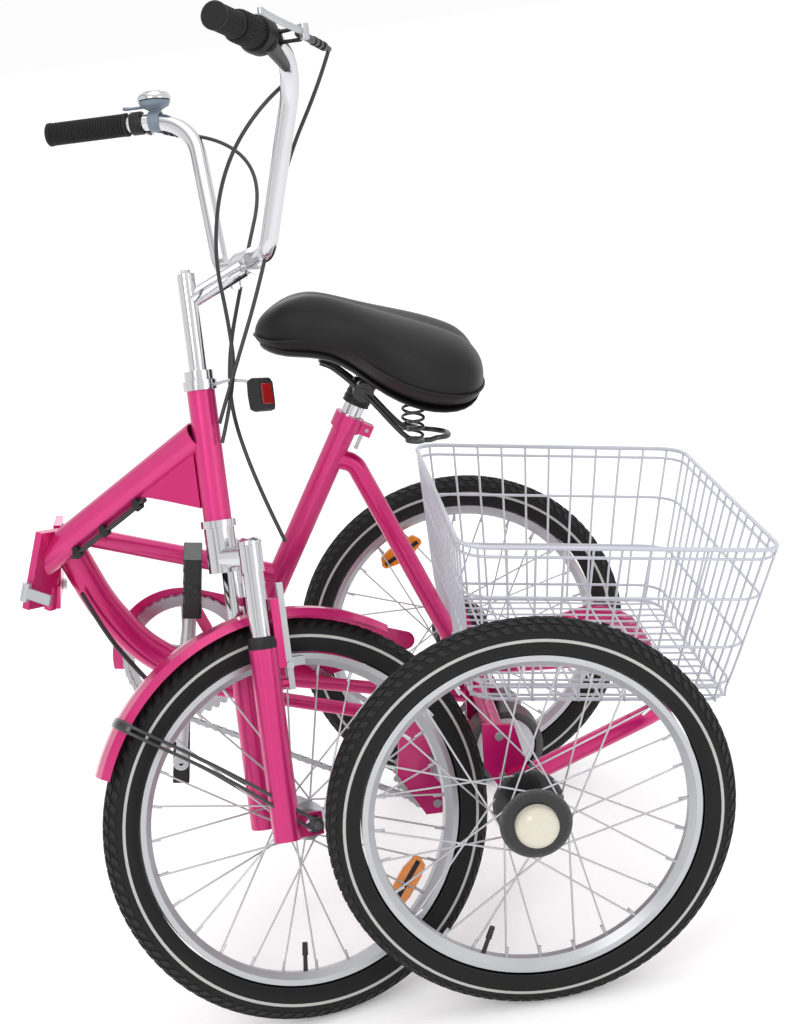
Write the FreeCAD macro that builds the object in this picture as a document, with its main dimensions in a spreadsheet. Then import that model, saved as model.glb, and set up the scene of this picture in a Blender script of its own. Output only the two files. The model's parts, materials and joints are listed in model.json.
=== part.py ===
import FreeCAD, Part
import math
import os
import Sketcher
from FreeCAD import Placement, Rotation, Vector

# Folding adult tricycle, 20 inch wheels, stored folded.
# Millimetres. Two design frames are used while the pieces are drawn:
#   rear frame  - origin on the rear axle's centre, X forward, Y to the rider's left, Z up
#   riding frame - the same frame, with the front half drawn unfolded and steered straight
# Every node then gets the placement of its own sub-assembly, folded as it is stored.

doc = FreeCAD.newDocument("tricycle")
sheet = doc.addObject("Spreadsheet::Sheet", "sizes")

DRIVING = {
    "tyre_radius": 250, "tyre_half": 24, "tyre_wall": 3.5, "rim_half": 13, "rim_outer": 206.5,
    "rim_depth": 15, "track": 664, "wheelbase": 1018, "head_angle": 69, "fork_rake": 56.7,
    "leg_lead": 22, "leg_half": 52, "fold_angle": 149.6, "pin_x": 594, "pin_y": 21, "pin_z": 200,
    "pin_lean_back": 4.48, "pin_lean_side": 3.39, "steer_angle": 43.9, "stem_turn": 7.4, "bb_x": 419,
    "bb_z": 58, "seat_foot_x": 351, "seat_angle": 68.4, "seat_tube_len": 383,
    "seat_tube_outer": 16, "post_radius": 13.6, "running_gap": 0.05, "main_tube_outer": 20, "lower_tube_outer": 21, "tube_wall": 2,
    "brace_outer": 12.7, "stay_outer": 13, "chain_stay_outer": 9, "head_outer": 17.5,
    "steerer_radius": 12.7, "leg_outer": 17.5, "bar_radius": 11.1, "grip_radius": 16,
    "axle_radius": 7.5, "front_axle_radius": 4.8, "jack_radius": 6, "spindle_radius": 8,
    "basket_length": 403, "basket_width": 530, "basket_height": 220, "basket_foot": 334,
    "basket_foot_width": 410, "basket_wall": 4, "ring_radius": 84.9, "cog_radius": 30,
    "pulley_radius": 21, "drive_radius": 36.6, "crank_length": 165, "pedal_width": 84,
    "fender_radius": 263, "fender_half": 29, "cable_radius": 2.5, "spoke_radius": 1.2,
    "plate_thick": 6, "pin_radius": 4, "rail_radius": 3.5,
}
for row, (alias, value) in enumerate(DRIVING.items(), start=1):
    sheet.set("A%d" % row, alias)
    sheet.set("B%d" % row, str(value))
    sheet.setAlias("B%d" % row, alias)
doc.recompute()


def size(alias):
    """A driving dimension, read back from the sheet."""
    return float(sheet.get(alias))


# ---------------------------------------------------------------- drawing helpers

def rod(name, start, end, radius):
    """A solid cylinder between two points; radius is an expression on the sheet."""
    piece = doc.addObject("Part::Cylinder", name)
    along = end.sub(start)
    piece.Height = along.Length
    piece.setExpression("Radius", radius)
    piece.Placement = Placement(start, Rotation(Vector(0, 0, 1), along))
    return piece


def fuse(name, pieces):
    whole = doc.addObject("Part::MultiFuse", name)
    whole.Shapes = pieces
    return whole


def cut(name, base, tool):
    rest = doc.addObject("Part::Cut", name)
    rest.Base = base
    rest.Tool = tool
    return rest


def group(name, pieces):
    """Separate solids that share one node."""
    set_of = doc.addObject("Part::Compound", name)
    set_of.Links = pieces
    return set_of


def tube(name, start, end, outer, inner):
    """A straight tube, open at both ends."""
    along = end.sub(start).normalize()
    bore = rod(name + "_bore", start.sub(along), end.add(along), inner)
    return cut(name, rod(name + "_outside", start, end, outer), bore)


def block(name, low, high, placement=None):
    """A rectangular block between two corners of its own frame."""
    piece = doc.addObject("Part::Box", name)
    piece.Length, piece.Width, piece.Height = high[0] - low[0], high[1] - low[1], high[2] - low[2]
    piece.Placement = (placement or Placement()).multiply(Placement(Vector(*low), Rotation()))
    return piece


def lathe(name, outline):
    """A PartDesign body turned about its Y axis.

    outline is a closed list of (radius, distance along the axis), each an expression.
    """
    body = doc.addObject("PartDesign::Body", name)
    plane = [f for f in body.Origin.OriginFeatures if f.Role == "XY_Plane"][0]
    sketch = body.newObject("Sketcher::SketchObject", name + "_profile")
    sketch.AttachmentSupport = [(plane, "")]
    sketch.MapMode = "FlatFace"
    start = [(value(r), value(a)) for r, a in outline]
    count = len(start)
    for i, (r, a) in enumerate(start):
        r2, a2 = start[(i + 1) % count]
        sketch.addGeometry(Part.LineSegment(Vector(r, a, 0), Vector(r2, a2, 0)), False)
    for i in range(count):
        sketch.addConstraint(Sketcher.Constraint("Coincident", i, 2, (i + 1) % count, 1))
    for i, (r, a) in enumerate(outline):
        for kind, expression in (("DistanceX", r), ("DistanceY", a)):
            row = sketch.addConstraint(Sketcher.Constraint(kind, -1, 1, i, 1, value(expression)))
            sketch.setExpression("Constraints[%d]" % row, expression)
    turn = body.newObject("PartDesign::Revolution", name + "_turn")
    turn.Profile = sketch
    turn.ReferenceAxis = (sketch, ["V_Axis"])
    turn.Angle = 360
    body.Tip = turn
    return body


def value(expression):
    """The number an expression on the sheet stands for."""
    sheet.set("D1", "=" + expression.replace("sizes.", ""))
    sheet.recompute()
    return float(sheet.get("D1"))


def turned(body, base, axis):
    """Stand a turned body on base with its axis along axis."""
    body.Placement = Placement(base, Rotation(Vector(0, 1, 0), axis))
    return body


def prism(name, outline, low, high):
    """A plate with an outline of (x, z) points, from y = low to y = high."""
    wire = doc.addObject("Part::Polygon", name + "_outline")
    wire.Nodes = [Vector(x, low, z) for x, z in outline]
    wire.Close = True
    solid = doc.addObject("Part::Extrusion", name)
    solid.Base = wire
    solid.DirMode = "Custom"
    solid.Dir = Vector(0, 1, 0)
    solid.LengthFwd = high - low
    solid.Solid = True
    return solid


def rounded_path(points, share=0.45):
    """Straight runs joined by tangent arcs; returns the wire and its bend radii."""
    edges, radii, last = [], [], points[0]
    for before, corner, after in zip(points, points[1:], points[2:]):
        back, onward = before.sub(corner), after.sub(corner)
        shorter = min(back.Length, onward.Length)
        back.normalize()
        onward.normalize()
        turn = math.pi - math.acos(max(-1, min(1, back.dot(onward))))
        reach = share * shorter
        radius = reach / math.tan(turn / 2)
        begin, finish = corner.add(back * reach), corner.add(onward * reach)
        inward = back.add(onward).normalize()
        middle = corner.add(inward * (radius / math.cos(turn / 2) - radius))
        edges.append(Part.LineSegment(last, begin).toShape())
        edges.append(Part.Arc(begin, middle, finish).toShape())
        radii.append(radius)
        last = finish
    edges.append(Part.LineSegment(last, points[-1]).toShape())
    return Part.Wire(edges), radii


def swept(wire, radius):
    """A round bar along a wire."""
    start = wire.Vertexes[0].Point
    ring = Part.Wire(Part.Circle(start, wire.Edges[0].tangentAt(0), radius).toShape())
    return wire.makePipeShell([ring], True, False)


def bent_tube(name, points, outer, wall=0, share=0.45):
    """A bent tube through points; outer and wall name cells of the sheet."""
    wire, radii = rounded_path(points, share)
    solid = swept(wire, size(outer))
    if wall:
        solid = solid.cut(swept(wire, size(outer) - size(wall)))
    piece = doc.addObject("Part::Feature", name)
    piece.Shape = solid
    return piece


def cable(name, points):
    """One cable housing; its volume is checked against section times length."""
    wire, radii = rounded_path(points)
    solid = swept(wire, size("cable_radius"))
    section = math.pi * size("cable_radius") ** 2
    print("cable %s: length %.0f mm, radii %s, volume ratio %.4f" % (
        name, wire.Length, [round(r) for r in radii], solid.Volume / (section * wire.Length)))
    piece = doc.addObject("Part::Feature", name)
    piece.Shape = solid
    return piece


def belt_wire(wheels, grow):
    """The outline of a belt held by wheels of (x, z, radius), in the plane y = 0.

    The wheels are listed clockwise as seen from the rider's right.
    """
    touch = []
    for (x1, z1, r1), (x2, z2, r2) in zip(wheels, wheels[1:] + wheels[:1]):
        r1, r2 = r1 + grow, r2 + grow
        span, heading = math.hypot(x2 - x1, z2 - z1), math.atan2(z2 - z1, x2 - x1)
        lean = heading + math.acos((r1 - r2) / span)
        out = (math.cos(lean), math.sin(lean))
        touch.append((Vector(x1 + r1 * out[0], 0, z1 + r1 * out[1]),
                      Vector(x2 + r2 * out[0], 0, z2 + r2 * out[1])))
    edges = []
    for i, (leave, arrive) in enumerate(touch):
        x, z, r = wheels[(i + 1) % len(wheels)]
        nxt = touch[(i + 1) % len(touch)][0]
        edges.append(Part.LineSegment(leave, arrive).toShape())
        a = math.atan2(arrive.z - z, arrive.x - x)
        b = math.atan2(nxt.z - z, nxt.x - x)
        if b > a:
            b -= 2 * math.pi
        mid = (a + b) / 2
        point = Vector(x + (r + grow) * math.cos(mid), 0, z + (r + grow) * math.sin(mid))
        edges.append(Part.Arc(arrive, point, nxt).toShape())
    return Part.Wire(edges)


def belt(name, wheels, outside, inside, low, high):
    """A flat loop round wheels, from y = low to y = high."""
    face = Part.Face(belt_wire(wheels, outside))
    solid = face.extrude(Vector(0, high - low, 0))
    if inside is not None:
        hole = Part.Face(belt_wire(wheels, inside)).extrude(Vector(0, high - low, 0))
        solid = solid.cut(hole)
    solid.translate(Vector(0, low, 0))
    piece = doc.addObject("Part::Feature", name)
    piece.Shape = solid
    return piece


# ---------------------------------------------------------------- where the sub-assemblies stand

UP = Vector(0, 0, 1)
RIGHT = Vector(0, -1, 0)
lean = math.radians(90 - size("head_angle"))
STEER_UP = Vector(-math.sin(lean), 0, math.cos(lean))
STEER_AHEAD = Vector(math.cos(lean), 0, math.sin(lean))
FRONT_HUB = Vector(size("wheelbase"), 0, 0)
STEER_FOOT = FRONT_HUB.sub(STEER_AHEAD * size("fork_rake"))
HINGE = Vector(size("pin_x"), size("pin_y"), size("pin_z"))
PIN_UP = Vector(-math.tan(math.radians(size("pin_lean_back"))),
                -math.tan(math.radians(size("pin_lean_side"))), 1).normalize()


def about(point, axis, angle):
    """A turn by angle degrees about a line through point."""
    return Placement(Vector(), Rotation(axis, angle), point)


def fork_point(up, ahead, side=0):
    """A point of the riding frame, up along the steering axis from the hub's height."""
    return STEER_FOOT.add(STEER_UP * up).add(STEER_AHEAD * ahead).add(Vector(0, side, 0))


FOLD = about(HINGE, PIN_UP, size("fold_angle"))
STEER = about(STEER_FOOT, STEER_UP, size("steer_angle"))


def lowest_point(pitch):
    """How far the front tyre reaches below the rear tyres when the rear half is pitched."""
    place = about(Vector(), Vector(0, 1, 0), -pitch).multiply(FOLD).multiply(STEER)
    centre = place.multVec(FRONT_HUB)
    axle = place.Rotation.multVec(Vector(0, 1, 0))
    tread = size("tyre_radius") - size("tyre_half")
    return centre.z - tread * math.sqrt(1 - axle.z ** 2) - size("tyre_half") + size("tyre_radius")


low_pitch, high_pitch = 0.0, 20.0
for step in range(50):
    middle_pitch = (low_pitch + high_pitch) / 2
    if lowest_point(middle_pitch) < 0:
        low_pitch = middle_pitch
    else:
        high_pitch = middle_pitch
rest_pitch = (low_pitch + high_pitch) / 2
print("rest pitch %.3f degrees" % rest_pitch)

PITCH = about(Vector(), Vector(0, 1, 0), -rest_pitch)
nodes = []


def node(label, piece, where):
    """Name a finished piece and note the sub-assembly that it stands in."""
    piece.Label = label
    nodes.append((label, piece, where))
    return piece


# ---------------------------------------------------------------- rear half: frame

bb = Vector(size("bb_x"), 0, size("bb_z"))
seat_foot = Vector(size("seat_foot_x"), 0, size("bb_z"))
slope = math.radians(size("seat_angle"))
SEAT_UP = Vector(-math.cos(slope), 0, math.sin(slope))
SEAT_BACK = Vector(-math.sin(slope), 0, -math.cos(slope))


def seat_point(up, back=0, side=0):
    """A point up the seat tube from the height of the bottom bracket."""
    return seat_foot.add(SEAT_UP * up).add(SEAT_BACK * back).add(Vector(0, side, 0))


SEAT_AXES = Placement(seat_foot, Rotation(SEAT_BACK, Vector(0, 1, 0), SEAT_UP, "ZXY"))
top = size("seat_tube_len")


def mitred(name, piece):
    """A piece cut back to the seat tube's surface, with a weld's depth of contact."""
    reach = rod(name + "_mitre", seat_point(-30), seat_point(top + 20), "sizes.seat_tube_outer - 0.1")
    return cut(name, piece, reach)


def make_rear_frame():
    plate_x = size("pin_x")
    lower = bent_tube("lower_main_tube", [
        Vector(plate_x - 14, 0, 238), Vector(530, 0, 148), Vector(482, 0, 96), bb.add(Vector(17, 0, 9))],
        "lower_tube_outer", "tube_wall")
    beyond = block("beyond_plate", (plate_x - 1, -40, 150), (plate_x + 60, 40, 290))
    node("lower_main_tube", cut("lower_main", lower, beyond), "rear")

    seat = tube("seat_tube_plain", seat_point(-16), seat_point(top), "sizes.seat_tube_outer",
                "sizes.post_radius + sizes.running_gap")
    slot = block("seat_tube_slot", (0, -1.5, top - 60), (30, 1.5, top + 1), SEAT_AXES)
    node("seat_tube", cut("seat_tube_cut", seat, slot), "rear")

    brace = tube("brace_long", Vector(plate_x - 12, 0, 250), Vector(300, 0, 196),
                 "sizes.brace_outer", "sizes.brace_outer - sizes.tube_wall")
    node("upper_brace_tube", mitred("upper_brace", brace), "rear")
    stay = bent_tube("stay_long", [Vector(226, 0, 355), Vector(203, 0, 350), Vector(42, 0, 72)],
                     "stay_outer", "tube_wall")
    node("centre_stay", mitred("centre_stay_cut", stay), "rear")

    barrel = rod("bb_barrel", bb.add(Vector(0, 34, 0)), bb.add(Vector(0, -34, 0)), "20")
    bridge = mitred("bb_bridge", rod("bb_bridge_bar", bb.sub(Vector(8, 0, 1)), seat_foot, "14"))
    core = rod("bb_core", bb.add(Vector(0, 36, 0)), bb.add(Vector(0, -36, 0)), "17")
    shell = cut("bb_shell", fuse("bb_shell_solid", [barrel, bridge]), core)
    node("bottom_bracket", shell, "rear")
    races = [tube("crank_race_%d" % i, bb.add(Vector(0, y, 0)), bb.add(Vector(0, y + 12, 0)),
                  "17 - sizes.running_gap", "sizes.spindle_radius + sizes.running_gap")
             for i, y in enumerate((-34, 22))]
    node("crank_bearings", group("crank_bearing_pair", races), "bearing")


def make_axle_carrier():
    half = size("plate_thick") / 2
    plates = []
    for i, y in enumerate((-235, -68, 68, 235)):
        plate = prism("carrier_plate_%d" % i, [(-24, -20), (10, -28), (46, 20), (52, 76), (12, 76)],
                      y - half, y + half)
        boss = rod("carrier_boss_%d" % i, Vector(0, y - 8, 0), Vector(0, y + 8, 0), "20")
        bore = rod("carrier_bore_%d" % i, Vector(0, y - 9, 0), Vector(0, y + 9, 0),
                   "sizes.axle_radius + sizes.running_gap")
        plates.append(cut("carrier_%d" % i, fuse("carrier_solid_%d" % i, [plate, boss]), bore))
    node("axle_brackets", group("axle_brackets", plates), "rear")

    cross = tube("cross_tube", Vector(32, -232, 60), Vector(32, 232, 60), "12", "10")
    loop = bent_tube("rack_loop", [
        Vector(-20, 231.5, 12), Vector(-178, 200, 81), Vector(-214, 150, 81), Vector(-214, -150, 81),
        Vector(-178, -200, 81), Vector(-20, -231.5, 12)], "brace_outer")
    spine = rod("rack_spine", Vector(21.5, 0, 62), Vector(-208, 0, 80), "7")
    node("rack_frame", fuse("rack_whole", [cross, loop, spine]), "rear")

    bearing_room = rod("stay_bearing_room", bb.add(Vector(0, 36, 0)), bb.add(Vector(0, -36, 0)), "17")
    stays = []
    for i, side in enumerate((-1, 1)):
        stay = tube("chain_stay_%d" % i, Vector(405, 27 * side, 46), Vector(30, 60 * side, 0),
                    "sizes.chain_stay_outer", "7.5")
        stays.append(cut("stay_tube_%d" % i, stay, bearing_room))
    arms = []
    for i, y in enumerate((-72, 64)):
        arm = prism("jack_plate_%d" % i, [
            (64, -118), (94, -122), (136, -64), (136, 20), (94, 16), (92, -60), (64, -90)], y, y + 4)
        hole = rod("jack_hole_%d" % i, Vector(80, y - 1, -105), Vector(80, y + 5, -105),
                   "sizes.jack_radius + sizes.running_gap")
        inner, outer = ((-70, -57), (57, 66))[i]
        tie = block("jack_tie_%d" % i, (98, inner, 8), (132, outer, 16))
        arms.append(fuse("jack_arm_%d" % i, [cut("jack_cut_%d" % i, arm, hole), tie]))
    node("chain_stays", group("chain_stays", [fuse("stay_%d" % i, [stays[i], arms[i]]) for i in (0, 1)]),
         "rear")


def make_basket():
    def shape(name, grow, base):
        solid = doc.addObject("Part::Wedge", name)
        half = "(sizes.basket_%s) / 2 - " + str(grow)
        for prop, expression in (
                ("Xmax", half % "foot"), ("Zmax", half % "foot_width"),
                ("X2max", half % "length"), ("Z2max", half % "width")):
            solid.setExpression(prop, expression)
            solid.setExpression(prop.replace("max", "min"), "-(" + expression + ")")
        solid.Ymin = base
        solid.setExpression("Ymax", "sizes.basket_height + %s" % (0 if not grow else 1))
        return solid
    outside = shape("basket_outside", 0, 0)
    inside = shape("basket_inside", size("basket_wall"), size("basket_wall"))
    basket = cut("basket_wall", outside, inside)
    basket.Placement = Placement(Vector(-104, 0, 95), Rotation(Vector(1, 0, 0), 90))
    node("basket", basket, "rear")


def make_rear_hinge():
    plate_x = size("pin_x")
    plate = block("rear_plate", (plate_x - 10, -36, 160), (plate_x - 0.4, 11, 262))
    knuckles = []
    for i, (low, high) in enumerate(((-48, -17), (17, 48))):
        foot, head = HINGE.add(PIN_UP * low), HINGE.add(PIN_UP * high)
        barrel = rod("rear_barrel_%d" % i, foot, head, "8")
        web = block("rear_web_%d" % i, (plate_x - 10, 8, foot.z), (plate_x - 1, foot.y, head.z))
        knuckles += [barrel, web]
    bore = rod("rear_bore", HINGE.sub(PIN_UP * 60), HINGE.add(PIN_UP * 60), "sizes.pin_radius")
    hinge = cut("rear_hinge", fuse("rear_hinge_solid", [plate] + knuckles), bore)
    pin = fuse("pin_whole", [
        rod("pin_shank", HINGE.sub(PIN_UP * 50), HINGE.add(PIN_UP * 56), "sizes.pin_radius - 0.05"),
        rod("pin_head", HINGE.add(PIN_UP * 48.3), HINGE.add(PIN_UP * 56), "7")])
    node("rear_hinge_plate", group("rear_hinge_set", [hinge, pin]), "rear")


# ---------------------------------------------------------------- rear half: drive and brake

CHAIN_Y = -60
BB_WHEEL = (size("bb_x"), size("bb_z"), size("ring_radius"))
COG_WHEEL = (80, -105, size("cog_radius"))
PULLEY_WHEEL = (32, -158, size("pulley_radius"))


def make_drive():
    bands = []
    wheels = [BB_WHEEL, PULLEY_WHEEL, COG_WHEEL]
    for i, low in enumerate((CHAIN_Y - 3.6, CHAIN_Y + 1.8)):
        bands.append(belt("main_band_%d" % i, wheels, 4, -4, low, low + 1.8))
    pair = [(80, -105, size("drive_radius")), (0, 0, size("drive_radius"))]
    bands += [belt("axle_band_%d" % i, pair, 4, -4, low, low + 1.8) for i, low in enumerate((-3.6, 1.8))]
    node("drive_chains", group("drive_chain_bands", bands), "rear")

    guard_x = size("bb_x") + 6
    guard = belt("guard_plate", [(guard_x, size("bb_z"), 96), (118, 80, 13)], 0, None, -67, -65)
    open_low = block("guard_open", (guard_x - 130, -70, -80), (guard_x + 130, -60, 36))
    arch = cut("guard_arch", guard, open_low)
    eye = rod("guard_eye", bb.add(Vector(6, -70, 0)), bb.add(Vector(6, -60, 0)), "80")
    rib = prism("guard_rib", [(423, 134), (405, 134), (384, 96), (398, 90)], -67, -65)
    node("chain_guard", fuse("chain_guard_whole", [cut("guard_cut", arch, eye), rib]), "rear")

    x, z, radius = PULLEY_WHEEL
    cage = [belt("cage_%d" % i, [(x, z, 15), (x + 8, z + 16, 8)], 0, None, low, low + 1.5)
            for i, low in enumerate((CHAIN_Y - 6, CHAIN_Y + 4.5))]
    pulley = rod("pulley", Vector(x, CHAIN_Y - 1.2, z), Vector(x, CHAIN_Y + 1.2, z),
                 "sizes.pulley_radius")
    bolt = rod("pulley_bolt", Vector(x, CHAIN_Y - 26, z), Vector(x, CHAIN_Y + 8, z), "3")
    arm = prism("mech_arm", [(x - 9, z - 9), (x + 9, z - 9), (x + 52, -6), (x + 34, -6)], -86, -80)
    body = block("mech_body", (x + 30, -81, -16), (x + 78, -71.5, 4))
    node("derailleur", fuse("derailleur_whole", cage + [pulley, bolt, arm, body]), "rear")

    jack = [rod("jack_shaft", Vector(80, -74, -105), Vector(80, 70, -105), "sizes.jack_radius")]
    for i in range(5):
        y = CHAIN_Y - 6 + 6 * i
        jack.append(rod("cog_%d" % i, Vector(80, y - 1.2, -105), Vector(80, y + 1.2, -105),
                        "sizes.cog_radius + 3 + %d" % (6 * (i - 1))))
    jack.append(rod("jack_body", Vector(80, CHAIN_Y - 8, -105), Vector(80, -20, -105), "17"))
    jack.append(rod("jack_sprocket", Vector(80, -1.2, -105), Vector(80, 1.2, -105),
                    "sizes.drive_radius + 3"))
    node("jackshaft_cassette", fuse("jackshaft_whole", jack), "jackshaft")

    shaft = rod("axle_bar", Vector(0, -374, 0), Vector(0, 374, 0), "sizes.axle_radius")
    sprocket = rod("axle_sprocket", Vector(0, -1.2, 0), Vector(0, 1.2, 0), "sizes.drive_radius + 3")
    boss = rod("axle_boss", Vector(0, -14, 0), Vector(0, 14, 0), "14")
    drum = rod("brake_drum", Vector(0, 92, 0), Vector(0, 120, 0), "38")
    node("rear_axle", fuse("rear_axle_whole", [shaft, sprocket, boss, drum]), "drive")

    shell = rod("cover_outside", Vector(0, 86, 0), Vector(0, 124, 0), "49")
    space = rod("cover_inside", Vector(0, 89, 0), Vector(0, 125, 0), "39.5")
    hole = rod("cover_hole", Vector(0, 80, 0), Vector(0, 90, 0), "10")
    arm = block("cover_arm", (10, 86, 36), (40, 92, 62))
    cover = cut("cover_open", fuse("cover_solid", [shell, arm]), fuse("cover_space", [space, hole]))
    node("brake_cover", cover, "rear")


def make_crankset():
    tilt = math.radians(92.5)
    reach = Vector(math.cos(tilt), 0, math.sin(tilt)) * size("crank_length")
    spindle = rod("spindle", bb.add(Vector(0, -84, 0)), bb.add(Vector(0, 71, 0)), "sizes.spindle_radius")
    ring = lathe("chainring", [
        ("16", "0"), ("sizes.ring_radius + 3", "0"), ("sizes.ring_radius + 3", "2.4"), ("16", "2.4")])
    turned(ring, bb.add(Vector(0, CHAIN_Y - 1.2, 0)), Vector(0, 1, 0))
    hub = rod("ring_hub", bb.add(Vector(0, -72, 0)), bb.add(Vector(0, CHAIN_Y + 5, 0)), "17")
    arms = []
    for i, (side, away) in enumerate(((-1, 77), (1, 64))):
        root = bb.add(Vector(0, side * away, 0))
        end = root.add(reach * side)
        arms.append(rod("crank_arm_%d" % i, root, end, "6.8"))
        for j, (centre, radius) in enumerate(((root, "15"), (end, "11"))):
            arms.append(rod("crank_eye_%d%d" % (i, j), centre.sub(Vector(0, 7.5, 0)),
                            centre.add(Vector(0, 7.5, 0)), radius))
    node("crankset", fuse("crankset_whole", [spindle, ring, hub] + arms), "crank")
    for side, away, name in ((1, 64, "pedal_left"), (-1, 77, "pedal_right")):
        eye = bb.add(Vector(0, side * (away + 7.6), 0)).add(reach * side)
        far = eye.add(Vector(0, side * size("pedal_width"), 0))
        body = block(name + "_body", (-12, 4, -38), (12, size("pedal_width"), 38),
                     Placement(eye, Rotation(Vector(0, 1, 0), Vector(0, side, 0))))
        pin = rod(name + "_pin", eye, far, "5")
        node(name, fuse(name + "_whole", [body, pin]), name)


def make_seat():
    post = rod("seat_post_bar", seat_point(top - 190), seat_point(top + 40), "sizes.post_radius")
    node("seat_post", post, "seat")
    collar = tube("collar_ring", seat_point(top - 20), seat_point(top), "20", "sizes.seat_tube_outer")
    ears = block("collar_ears", (16, -9, top - 18), (34, 9, top - 2), SEAT_AXES)
    gap = block("collar_gap", (10, -1.5, top - 26), (40, 1.5, top + 5), SEAT_AXES)
    node("seat_clamp", cut("seat_clamp_cut", fuse("seat_clamp_solid", [collar, ears]), gap), "rear")
    lever = fuse("seat_lever_whole", [
        rod("seat_lever_cam", SEAT_AXES.multVec(Vector(21, 15, top - 10)),
            SEAT_AXES.multVec(Vector(33, 15, top - 10)), "5.3"),
        block("seat_lever_blade", (24, 12.5, top - 42), (29, 17.5, top - 10), SEAT_AXES)])
    node("seat_clamp_lever", lever, "seat_lever")

    wires = []
    for i, side in enumerate((-1, 1)):
        wires.append(bent_tube("saddle_rail_%d" % i, [
            Vector(250, 10 * side, 487), Vector(230, 16 * side, 477), Vector(139, 34 * side, 392),
            Vector(112, 34 * side, 392)], "rail_radius"))
        wires.append(rod("saddle_spring_%d" % i, Vector(128, 38 * side, 388), Vector(128, 38 * side, 449),
                         "12"))
    clamp = rod("saddle_clamp", Vector(196, -28, 449), Vector(196, 28, 449), "14")
    node("saddle_frame", fuse("saddle_frame_whole", wires + [clamp]), "seat")
    node("saddle", saddle_solid(), "seat")


def saddle_solid():
    """The pad's outer shape: sections lofted from the nose to the tail."""
    sections = []
    for x, half, high, low in ((335, 15, 532, 508), (322, 30, 550, 497), (298, 42, 569, 489),
                               (270, 47, 575, 484), (240, 54, 568, 480), (200, 74, 558, 470),
                               (150, 102, 546, 454), (105, 118, 535, 444), (72, 119, 524, 448),
                               (53, 96, 509, 460), (44, 66, 494, 472)):
        corners = []
        for degrees in range(15, 375, 30):
            a = math.radians(degrees)
            corners.append(Vector(x, half * math.cos(a), (high + low) / 2 + (high - low) / 2 * math.sin(a)))
        curve = Part.BSplineCurve()
        curve.interpolate(corners, PeriodicFlag=True)
        sections.append(Part.Wire(curve.toShape()))
    piece = doc.addObject("Part::Feature", "saddle_pad")
    piece.Shape = Part.makeLoft(sections, True, False)
    return piece


# ---------------------------------------------------------------- front half

def make_front_frame():
    plate_x = size("pin_x")
    join = fork_point(495, 0)
    down = Vector(600, 0, 229).sub(join).normalize()
    main = tube("main_tube_long", join.add(down * 14), join.add(down * 330), "sizes.main_tube_outer",
                "sizes.main_tube_outer - sizes.tube_wall")
    behind = block("main_tube_behind", (450, -60, 100), (plate_x + 9.6, 60, 400))
    skin = rod("head_tube_skin", fork_point(380, 0), fork_point(560, 0), "sizes.head_outer - 0.1")
    main = cut("front_main_tube_cut", main, fuse("main_tube_trim", [behind, skin]))

    node("head_tube", tube("head_tube_plain", fork_point(383, 0), fork_point(544, 0),
                           "sizes.head_outer", "15"), "front")
    a, b, c = fork_point(400, -16), fork_point(470, -16), join.add(down * 110)
    plate = prism("gusset_plate", [(a.x, a.z), (b.x, b.z), (c.x, c.z - 20), (a.x - 52, a.z - 4)], -11, 11)
    room = rod("gusset_room", join.add(down * -10), join.add(down * 200), "sizes.main_tube_outer - 0.1")
    spare = rod("gusset_spare", fork_point(380, 0), fork_point(500, 0), "sizes.head_outer - 0.1")
    gusset = cut("gusset_cut", plate, fuse("gusset_trim", [room, spare]))
    node("front_main_tube", fuse("front_main_tube_whole", [main, gusset]), "front")

    plate = block("front_plate", (plate_x + 0.4, -36, 160), (plate_x + 10, 11, 262))
    foot, head = HINGE.sub(PIN_UP * 16), HINGE.add(PIN_UP * 16)
    barrel = rod("front_barrel", foot, head, "8")
    web = block("front_web", (plate_x + 2, 8, foot.z + 1), (plate_x + 10, 21, head.z - 1))
    bore = rod("front_bore", HINGE.sub(PIN_UP * 60), HINGE.add(PIN_UP * 60),
               "sizes.pin_radius + sizes.running_gap")
    node("front_hinge_plate", cut("front_hinge", fuse("front_hinge_solid", [plate, barrel, web]), bore),
         "front")
    node("headset_races", group("headset_races", [
        tube("headset_lower", fork_point(374, 0), fork_point(383, 0), "22",
             "sizes.steerer_radius + sizes.running_gap"),
        tube("headset_upper", fork_point(544, 0), fork_point(556, 0), "21",
             "sizes.steerer_radius + sizes.running_gap")]), "race")
    pivot = Vector(plate_x + 6, -42.4, 184)
    lever = fuse("latch_whole", [
        rod("latch_cam", pivot.sub(UP * 12), pivot.add(UP * 12), "6"),
        block("latch_blade", (plate_x + 6, -47, 177), (plate_x + 46, -43, 191))])
    node("hinge_latch", lever, "latch")


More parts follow.
